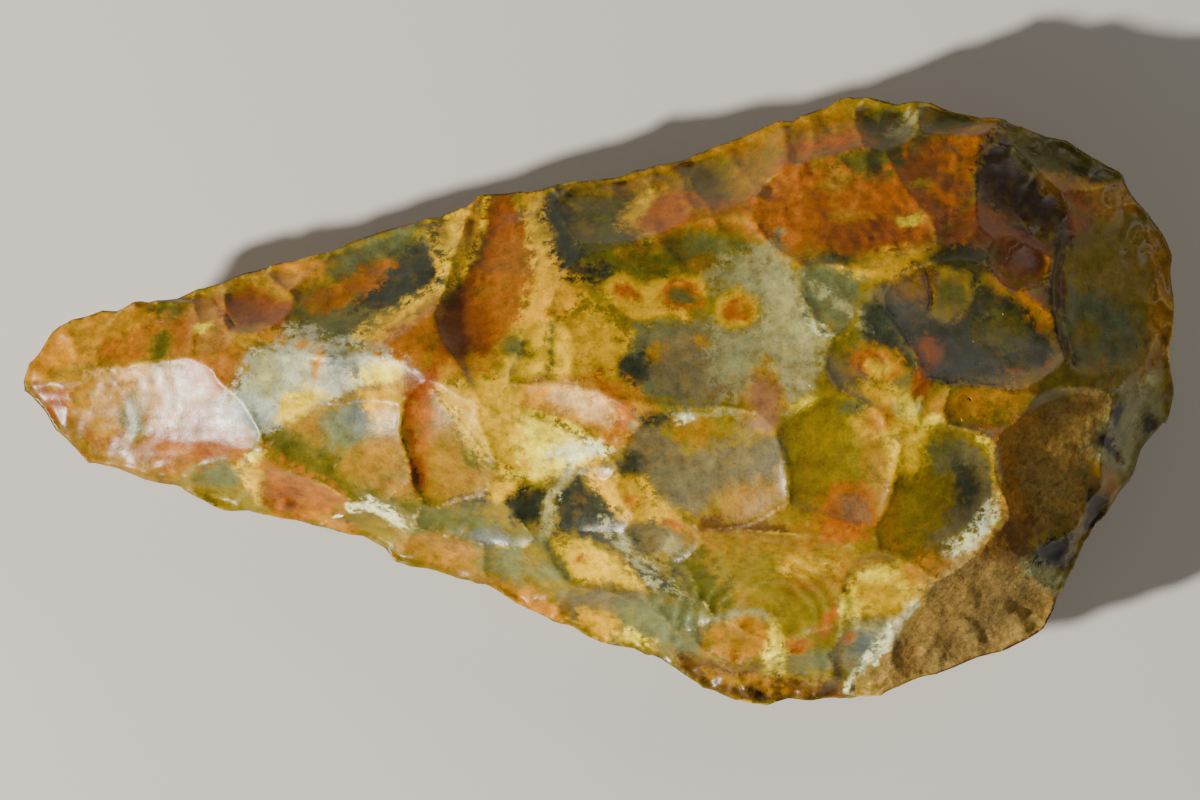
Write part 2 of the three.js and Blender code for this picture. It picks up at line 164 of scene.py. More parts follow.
# %% Scars of the front face
FRONT_SCARS = [
    # the point
    (-71, -4, 18, 10.5, 4, 2.2, 2), (-88.2, -2.2, 5.6, 4.8, -40, 1, 3), (-87, 8.2, 6.5, 3.8, 45, 0.9, 2),
    (-80.5, 11.6, 7, 4.2, 22, 1, 2), (-70.5, 11, 12, 5.8, 12, 1.7, 2), (-62, 13, 6.5, 4.8, 80, 1.5, 2),
    (-54.5, 15, 8, 4.8, 10, 1.8, 2.4), (-47.5, 20.8, 8.5, 4, 22, 1.3, 2), (-45, 1.8, 17, 7.6, -3, 1.5, 2),
    # between the point and the middle
    (-37.5, 17, 19, 9.5, 27, 2.5, 2), (-23.5, 26.5, 10, 5.2, 80, 1.5, 2),
    (-14.5, 19.5, 10.5, 18.5, -16, 2.2, 3, 0.7), (-40.5, -6.5, 13, 9.8, -15, 2.2, 2),
    (-24.5, -7.5, 7.5, 10.5, 20, 1.9, 3, 0.6), (-9, -8, 12, 5.2, -24, 1.6, 2),
    (-6, -1.2, 13, 4.2, -12, 1.3, 2), (-7, 8, 11, 7, 20, 1.6, 2),
    # the broad middle
    (14, 12.5, 25, 15, 4, 2.9, 2.2), (17, -10.5, 15, 10.2, 0, 2.1, 2.4),
    (38.5, -9, 11.5, 10.5, 10, 2.4, 2, 0.3), (27, -29.5, 9.5, 16, -96, 2, 3, -0.7),
    (53.5, -15, 11, 13, -15, 2.3, 3, -0.5), (43, -31, 10.5, 7, 40, 1.7, 2), (49, -3, 8, 6, 30, 1.3, 2),
    (44, 5, 8.5, 9, 0, 1.7, 2), (36.5, 15.8, 6.4, 6.6, 20, 1.3, 3, 0.6),
    # the far edge of the broad end
    (4, 31.5, 14, 6.2, 12, 1.9, 2), (20.5, 37, 12, 5.4, 25, 1.9, 2), (35.5, 43, 8, 5, 28, 1.6, 2),
    (45.5, 44.5, 6.5, 5, 0, 1.8, 2), (56, 45.4, 8, 3.8, -6, 1.5, 2), (40, 29.5, 18, 9.5, 8, 1.9, 2),
    (54, 34, 10.5, 9, 15, 1.8, 2), (65.5, 32, 11, 7.2, -45, 2.6, 2.4, -0.5),
    (66, 22.5, 5, 6, 0, 1.6, 2.6),
    (58, 11, 15, 10, -14, 2.1, 2), (60, -2, 10, 4.6, 0, 1.2, 2), (74.5, 38, 10, 6, -32, 2.2, 2),
    # the butt, with the great hollow behind the crevice and the two hollows of chalky rind
    (82, 17.5, 10.5, 14.5, -4, 2.9, 4, 0.75), (79, 30, 7, 6.5, 0, 2, 2), (89, 21, 8.5, 3.6, 100, 1.5, 2),
    (89.5, 6, 8, 3.8, 88, 1.4, 2), (72, -10, 9.5, 13, -20, 2.9, 4, 0.6),
    (60, -36.5, 17, 10.5, 22, 2.6, 2.6),
    (72, -26, 5.4, 4, 50, 1.2, 2), (85, -7, 13, 6.6, 75, 2, 2), (79, -17.5, 5, 3.6, 40, 1.2, 2),
    # the near edge
    (-60.5, -13, 6, 4.4, -14, 1.4, 2.6), (-46.5, -15.8, 9, 4.4, -10, 1.6, 2),
    (-35, -21, 6.4, 5.2, -38, 1.8, 2.6), (-25, -24.8, 9.5, 4.2, -14, 1.6, 2),
    (-20, -19.6, 9.5, 4, -10, 1.5, 2), (-13, -28, 8.5, 4.4, -30, 1.6, 2),
    (-5, -16.5, 9.5, 7, -24, 1.8, 2),
    (1, -25.8, 13, 5.4, -30, 1.9, 2), (3, -34.5, 10, 5.2, -24, 1.8, 2), (10, -22, 6, 5.2, 0, 1.4, 2),
    (12.5, -30.5, 8, 5.4, -30, 1.8, 2), (22, -37.5, 7.5, 4.6, -4, 1.6, 2.6),
    (17.5, -43.2, 7.5, 3.8, -32, 1.4, 2), (30, -43.8, 9, 4.4, 8, 1.6, 2), (34, -37, 7.5, 4.6, 10, 1.4, 2),
    (41.5, -39.5, 7, 6.4, 30, 1.6, 2),
]
print(len(FRONT_SCARS), "large scars on the front")

# %% [markdown]
# ## The small scars along the edges
# The edge was trimmed with light blows, a few millimetres apart, and the back was thinned with longer
# ones. They could be placed one by one. A row with a repeatable scatter was chosen, as nobody aimed
# them, and its first three rows are the ones that the solid has. The nibbles are only in the fine mesh.


# %% Rows of scars struck in from the edge
def scatter(n):
    s = math.sin(n * 12.9898 + 4.1) * 43758.5453
    return s - math.floor(s)


def edge_row(crown, spacing, inset, length, width, depth, steepness, seed):
    row = []
    count = round(len(rim) * EDGE_STEP / spacing)
    cx, cy = crown[0] * ALONG, crown[1] * ACROSS
    for i in range(count):
        r1, r2, r3 = (scatter(seed + i * 7.3 + k) for k in (1, 2, 3))
        x, y = rim[int((i + 0.6 * r1) / count * len(rim)) % len(rim)]
        heading, size = math.atan2(cy - y, cx - x), 0.7 + 0.6 * r2
        bite = min(1, 0.3 * BREADTH / math.hypot(cx - x, cy - y) + 0.25)
        row.append(((x + math.cos(heading) * inset * size) / ALONG,
                    (y + math.sin(heading) * inset * size) / ACROSS,
                    length * size, width * size, math.degrees(heading) + 30 * (r3 - 0.5),
                    depth * size * bite, steepness))
    return row


def shared_row(crown, shares, seed):
    """A row of the solid, whose spacing, inset, length, width and depth are shares of the length."""
    return edge_row(crown, *(share * LENGTH for share in shares), 2, seed)


retouch = shared_row(FRONT_CROWN, (0.0353, 0.0065, 0.0196, 0.0163, 0.0049), 1)
back_scars = (shared_row(BACK_CROWN, (0.1467, 0.1033, 0.1087, 0.0707, 0.0087), 2)
              + shared_row(BACK_CROWN, (0.0679, 0.0326, 0.0543, 0.0359, 0.0092), 3))
nibbles = (edge_row(FRONT_CROWN, 3.3, 0.9, 2.4, 1.9, 0.7, 2, 5)
           + edge_row(FRONT_CROWN, 7.5, 4.2, 5.4, 3.4, 0.9, 3, 6)
           + edge_row(FRONT_CROWN, 11, 9, 7, 4, 0.6, 3, 7))
print(len(retouch) + len(nibbles), "edge scars,", len(back_scars), "scars on the back")

# %% [markdown]
# ## Where two scars meet
# Each flake takes away the stone inside its hollow, so a place is as low as the deepest scar there. Two
# hollows meet in a sharp ridge. The next deepest scar is kept too: where the two are nearly as deep, a
# ridge runs, and both the relief and the painted ridge highlight use that.


# %% How deep the scars cut
def scar_depth(x, y, scars):
    """Depth of the deepest scar at each place, which scar it is, and how near its border it is."""
    deepest = np.zeros(len(x))
    second = np.zeros(len(x))
    owner = np.full(len(x), -1)
    for n, (cx, cy, length, width, bearing, depth, steepness, *rest) in enumerate(scars):
        lean, size, turn = (rest[0] if rest else 0), 1.3 * max(length, width), math.radians(bearing)
        near = np.nonzero((abs(x - cx * ALONG) < size) & (abs(y - cy * ACROSS) < size))[0]
        dx, dy = (x[near] / ALONG - cx), (y[near] / ACROSS - cy)
        u = (dx * math.cos(turn) + dy * math.sin(turn)) / length
        v = (-dx * math.sin(turn) + dy * math.cos(turn)) / width
        angle, seed = np.arctan2(v, u), cx + cy
        border = 1 + 0.07 * np.sin(3 * angle + seed * 2.3) + 0.045 * np.sin(5 * angle + seed * 4.1)
        rho = np.hypot(u, v) / border
        cut = depth * (rho ** steepness - 1) * (1 - lean * np.clip(u, -1.2, 1.2))
        first = deepest[near]
        second[near] = np.minimum(second[near], np.maximum(first, cut))
        owner[near[cut < first]] = n
        deepest[near] = np.minimum(first, cut)
    return deepest, owner, second - deepest


# %% [markdown]
# ## Repeatable roughness
# Stone is uneven at every size. A displacement texture could do this, but the relief and the stains need
# the same numbers in this script. So this noise gives each place a number between about -1 and 1 that
# only depends on where it is, and three sizes of it are added together.


# %% Noise
def hash_noise(i, j, seed):
    n = (i * 374761393 + j * 668265263 + seed * 144665) & 0xFFFFFFFF
    n = ((n ^ (n >> 13)) * 1274126177) & 0xFFFFFFFF
    return ((n ^ (n >> 16)) & 0xFFFF) / 32767.5 - 1


def noise(x, y, size, seed):
    total, strength = 0, 1.0
    for octave in range(3):
        u, v = x / size, y / size
        i, j = np.floor(u).astype(np.int64), np.floor(v).astype(np.int64)
        f, g = ease(0, 1, u - i), ease(0, 1, v - j)
        a, b, c, d = (hash_noise(i + p, j + q, seed + octave) for p, q in ((0, 0), (1, 0), (0, 1), (1, 1)))
        total = total + strength * ((a * (1 - f) + b * f) * (1 - g) + (c * (1 - f) + d * f) * g)
        size, strength = size / 2.13, strength / 2
    return total / 1.4


# %% [markdown]
# ## Distances to shapes
# Stains and patches are drawn as simple shapes, either an oval or a few corners. Both give a distance
# that is negative inside, so one soft ragged border works for all of them.


# %% Distance to an oval, a patch and a line
def oval(x, y, cx, cy, length, width, bearing):
    turn = math.radians(bearing)
    u = ((x - cx) * math.cos(turn) + (y - cy) * math.sin(turn)) / length
    v = (-(x - cx) * math.sin(turn) + (y - cy) * math.cos(turn)) / width
    return (np.hypot(u, v) - 1) * min(length, width)


def line(x, y, points, closed=False):
    nearest = np.full(len(x), 1e9)
    ends = points[1:] + points[:1] if closed else points[1:]
    for (ax, ay), (bx, by) in zip(points, ends):
        ex, ey = bx - ax, by - ay
        t = np.clip(((x - ax) * ex + (y - ay) * ey) / (ex * ex + ey * ey + 1e-9), 0, 1)
        nearest = np.minimum(nearest, np.hypot(x - ax - t * ex, y - ay - t * ey))
    return nearest


def patch(x, y, points):
    inside = np.zeros(len(x), bool)
    for (ax, ay), (bx, by) in zip(points, points[1:] + points[:1]):
        if ay != by:
            inside ^= ((ay > y) != (by > y)) & (x < ax + (y - ay) * (bx - ax) / (by - ay))
    return np.where(inside, -1, 1) * line(x, y, points, closed=True)


def distance(x, y, shape):
    return patch(x, y, shape) if isinstance(shape, list) else oval(x, y, *shape)


# %% [markdown]
# ## Fine relief of the front
# Three zones aren't smooth flint: the rind left on the butt is sandy, the rust-brown zone of the far
# edge is frost-cracked, and the near edge below the hollow is crushed into small steps. Cracks and the
# sharp steps where a flake broke off short are drawn as lines.

# %% Zones and lines of the fine relief
RIND = [
    [(53.8, -26.3), (59.8, -23.4), (66, -19.8), (68.7, -20.4), (70, -26), (73.4, -30.8),
     (73.6, -36), (70, -39.5),
     (62, -42), (55, -45), (47, -47.5), (41, -46.5), (46.5, -40), (51, -33)],
    [(62.5, -5.8), (68.4, -1.2), (73.5, 0.4), (82.6, 0.9), (80, -4.4), (77.8, -11.4), (77.2, -18),
     (75, -20.5),
     (69, -20), (65.6, -20), (62.2, -23), (60.6, -23.5), (63.4, -19), (63.6, -11.5)],
]
CRACKED = [(22, 32), (33, 39), (58, 42), (60, 33), (52, 24), (38, 23), (28, 25), (15, 29)]
CRUSHED = [(12, -41), (20, -41.5), (30, -44.5), (40, -45), (40, -48.5), (26, -49), (18, -48), (12, -44)]
CRACKS = [  # points in mm, width and depth in mm
    ([(-61.5, 16), (-60, 14), (-58.5, 11.5)], 0.35, 0.5),
    ([(-58.3, -10.3), (-56, -8.6), (-52.6, -6.4)], 0.3, 0.4),
    ([(-58, 9), (-55, 7.8), (-52.2, 7.2), (-50, 8), (-48, 7.2), (-44.5, 6)], 0.3, 0.25),
    ([(-16.5, -1.5), (-8, -4.8), (0, -7)], 0.3, 0.35),
    ([(-25, 0), (-20, -5), (-17, -9.5)], 0.3, 0.3),
    ([(51.4, 20), (52.4, 16), (52, 14)], 0.3, 0.35),
    ([(63, 20), (65, 24), (70, 27)], 0.35, 0.4),
    ([(70, 37), (66, 30), (70, 25)], 0.3, 0.3),
    ([(86.5, 27), (89.5, 22), (88, 16)], 0.4, 0.5),
    ([(88, 12), (90.5, 9), (86, 4)], 0.4, 0.5),
    ([(31.8, 14.2), (33.6, 12), (36.6, 10)], 0.3, 0.3),
    ([(74, 28), (74.2, 24.5), (72.8, 19), (73.2, 12), (75.2, 6.5)], 0.8, 0.8),
    ([(41.4, 6.6), (43.4, 7.3), (45.4, 5.6), (44.6, 3.5), (42.4, 3.4), (41.2, 4.8), (41.4, 6.6)], 0.3, 0.3),
    ([(20, -21.4), (28, -22.6), (36, -21.6), (42, -19.4)], 0.3, 0.3),
    ([(23, -23.4), (31, -24.4), (39, -23)], 0.25, 0.25),
]


# %% [markdown]
# ## Ripples, ridges and grain
# A blow sends ripples through flint, and they stay as low waves across the scar. They could be a bump in
# the material, but then they would be missing from the mesh. So all of these are heights, each a few
# tenths of a millimetre, added up here.


# %% Fine relief
def fine_relief(x, y, owner, border, from_rim):
    """Small ups and downs of the front, in mm."""
    busy = 0.05 + 0.24 * ease(16, 4, from_rim)
    rise = 0.09 * noise(x, y, 6.0, 11) + busy * (0.5 - abs(noise(x, y, 5.2, 12)))
    # The ridge between two scars is a crisp arris, which catches the light.
    rise += 0.30 * np.exp(-border / 0.26) * ease(0.0, 3.0, from_rim) - 0.08
    # Ripples spread from where each flake was struck, and fade at its border.
    for n, (cx, cy, length, width, *_) in enumerate(FRONT_SCARS):
        mine = np.nonzero(owner == n)[0]
        if len(mine) < 10:
            continue
        away = np.array([cx - FRONT_CROWN[0], cy - FRONT_CROWN[1]]) + 0.01
        away /= np.hypot(*away)
        struck = np.array([cx, cy]) + away * 1.1 * math.sqrt(length * width)
        r = np.hypot(x[mine] - struck[0], y[mine] - struck[1]) + 1.1 * noise(x[mine], y[mine], 5.0, n)
        wave, fade = 1.6 + 0.08 * length, ease(-0.2, 0.7, noise(x[mine], y[mine], 9.0, n + 90))
        rise[mine] += 0.03 * np.sin(2 * math.pi * r / wave) * ease(0, 0.4, border[mine]) * fade
    hollow = np.hypot(x - 27, (y + 35) * 1.15)
    inside = ease(4, 7, hollow) * ease(17, 14, hollow) * ease(-40, -33, y)
    rise += 0.14 * np.sin(2 * math.pi * (hollow + 1.1 * noise(x, y, 7, 31)) / 2.3) * inside
    # Rind, cracked and crushed zones
    rind = np.zeros(len(x))
    for shape in RIND:
        rind = np.maximum(rind, ease(0.4, -0.4, patch(x, y, shape) + 0.5 * noise(x, y, 2, 21)))
    rise += rind * (0.40 * noise(x, y, 5.5, 22) + 0.22 * noise(x, y, 1.1, 23))
    cracked = ease(1.5, -2, patch(x, y, CRACKED) + 1.5 * noise(x, y, 4, 24))
    rise += cracked * (0.5 * (0.5 - abs(noise(x, y, 3.4, 25))) + 0.12 * noise(x, y, 1.0, 28))
    crushed = ease(1, -1, patch(x, y, CRUSHED) + noise(x, y, 2, 26))
    rise += crushed * 0.9 * (0.5 - abs(noise(x * 0.7, y, 2.6, 27)))
    for points, width, depth in CRACKS:
        away = line(x + 0.25 * noise(x, y, 1.2, 41), y + 0.25 * noise(x, y, 1.2, 42), points)
        rise -= depth * np.exp(-(away / width) ** 2)
    return rise, rind, cracked


# %% [markdown]
# ## The fine mesh
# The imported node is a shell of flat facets. A copy is merged, and five times its long edges are cut in
# half, as the Subdivide tool does, down to about a millimetre on the front. A remesh would give even
# facets too, but it would round the edge off. Only long edges are cut, so the facets end up alike in size,
# and the unseen back gets fewer.

# %% Copy and refine the solid
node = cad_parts["hand_axe"]
stone_mesh = node.data.copy()
bm = bmesh.new()
bm.from_mesh(stone_mesh)
SAME_PLACE = 0.03 * MM
bmesh.ops.remove_doubles(bm, verts=bm.verts, dist=SAME_PLACE)
bmesh.ops.dissolve_degenerate(bm, edges=bm.edges, dist=SAME_PLACE)
ROUNDS, RIM_BAND = 5, 5 * MM
LONGEST_FRONT, LONGEST_BACK = 0.85 * MM, 2.4 * MM


def cut_long_edges(bm):
    """Halves every edge that is too long for the face that it is on, and makes the triangles even."""
    bm.normal_update()
    long_edges = []
    for edge in bm.edges:
        is_front = any(face.normal.z > 0 for face in edge.link_faces)
        if edge.calc_length() > (LONGEST_FRONT if is_front else LONGEST_BACK):
            long_edges.append(edge)
    bmesh.ops.subdivide_edges(bm, edges=long_edges, cuts=1)
    bmesh.ops.triangulate(bm, faces=[face for face in bm.faces if len(face.verts) > 3])
    bm.normal_update()
    inner = [edge for edge in bm.edges if len({face.normal.z > 0 for face in edge.link_faces}) == 1]
    bmesh.ops.beautify_fill(bm, faces=bm.faces, edges=inner, method="ANGLE")
    return len(long_edges)


for _ in range(ROUNDS):
    print("edges cut in half", cut_long_edges(bm))
bmesh.ops.dissolve_degenerate(bm, edges=bm.edges, dist=SAME_PLACE)
bmesh.ops.triangulate(bm, faces=[face for face in bm.faces if len(face.verts) > 3])
bm.normal_update()
on_rim = [v for v in bm.verts if len({face.normal.z > 0 for face in v.link_faces}) > 1
          and abs(v.co.z - EDGE_HEIGHT * MM) < RIM_BAND]
is_front = np.array([v.normal.z > 0 for v in bm.verts])
print("fine mesh", len(bm.verts), "points,", len(bm.faces), "faces,", len(on_rim), "on the rim")

# %% [markdown]
# ## Onto the drawn surface
# Every point is moved up or down onto the drawn surface, as a sculptor would push clay to a template. The
# rim itself stays where it is, so the piece keeps the solid's outline, and so does the flat that it
# rests on. No point moves more than a little from the solid before the fine relief is added.

# %% Move the points onto the drawn surface
HELD_WIDTH, MOST_MOVED = 1.6, 1.2       # mm from the rim, and mm up or down
rim_tree = kdtree.KDTree(len(on_rim))
for n, v in enumerate(on_rim):
    rim_tree.insert(v.co, n)
rim_tree.balance()
from_rim = np.array([rim_tree.find(v.co)[2] for v in bm.verts]) / MM
place = np.array([v.co for v in bm.verts]) / MM
x, y, z = place.T.copy()
hold = ease(0.0, HELD_WIDTH, from_rim)

front, back = np.nonzero(is_front)[0], np.nonzero(~is_front)[0]
depth, owner, border = scar_depth(x[front], y[front], FRONT_SCARS + retouch)
small_depth = scar_depth(x[front], y[front], nibbles)[0]
rise, rind, cracked = fine_relief(x[front], y[front], owner, border, from_rim[front])
target = blank(x[front], y[front], 1) + depth
farthest = abs(target - z[front])[hold[front] > 0.99].max()
print("farthest from the drawing", round(float(farthest), 2), "mm")
target = np.clip(target, z[front] - MOST_MOVED, z[front] + MOST_MOVED)
z[front] += (target + small_depth + rise - z[front]) * hold[front]

depth_back = scar_depth(x[back], y[back], back_scars)[0]
target = blank(x[back], y[back], -1) - depth_back
target = np.clip(target, z[back] - MOST_MOVED, z[back] + MOST_MOVED)
rough_back = 0.12 * noise(x[back], y[back], 5.0, 51)
resting = z[back] < 0.01
moved = np.maximum(0.02, z[back] + (target + rough_back - z[back]) * hold[back])
z[back] = np.where(resting, z[back], moved)

for v, height in zip(bm.verts, z):
    v.co.z = height * MM
bm.to_mesh(stone_mesh)
bm.free()
stone = bpy.data.objects.new("knapped_stone", stone_mesh)
bpy.context.scene.collection.objects.link(stone)
stone_mesh.polygons.foreach_set("use_smooth", np.ones(len(stone_mesh.polygons), bool))
stone_mesh.materials.clear()
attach(stone, "root")
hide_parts("hand_axe")
print("stone", len(stone_mesh.polygons), "faces")

# %% [markdown]
# ## The colours of old flint
# Fresh flint is grey. This one lay in iron-rich gravel, which stained it amber, rust and olive from the
# outside, and left pale and slate patches where the stain didn't reach. Mixing colours by hand for each
# stain would drift, so each colour has one name here, like the pans of a paint box. They are deeper than
# they look in the render, as its tone curve makes bright orange turn salmon.

# %% Palette
PALETTE = {
    "amber": "#B27807", "bright_amber": "#DDA407", "deep_amber": "#9A5E07", "orange": "#A35D07",
    "rust": "#7F4507", "deep_rust": "#6A3807", "red_rust": "#804107", "brown": "#543607",
    "dark_brown": "#332007",
    "ochre": "#926A0B", "tan": "#A0732E", "peach": "#C28638", "pink_tan": "#A8753A", "pink": "#D0A068",
    "pale_pink": "#E0B482", "cream": "#FDDD57", "white": "#FDFDD2", "pale_yellow": "#EABC20",
    "yellow": "#CFA007",
    "olive_yellow": "#7C6817", "olive": "#534E16", "dark_olive": "#2C2C07", "olive_grey": "#5A5932",
    "grey_green": "#606343", "slate": "#313428", "dark_slate": "#25291D", "blue_grey": "#5C625C",
    "pale_blue": "#B0B1A2", "warm_grey": "#675D44", "pale_grey": "#8A835F", "light_grey": "#9F986F",
    "pink_grey": "#835E42", "sand": "#9C7C48", "brown_sand": "#9A6A2A", "dark_sand": "#6B4819",
    "black": "#070707",
}


def linear(hex_colour):
    """An sRGB hex value as linear red, green and blue."""
    channels = np.array([int(hex_colour[i:i + 2], 16) for i in (1, 3, 5)]) / 255
    return np.where(channels <= 0.04045, channels / 12.92, ((channels + 0.055) / 1.055) ** 2.4)


palette = {name: linear(value) for name, value in PALETTE.items()}
print(len(palette), "colours")
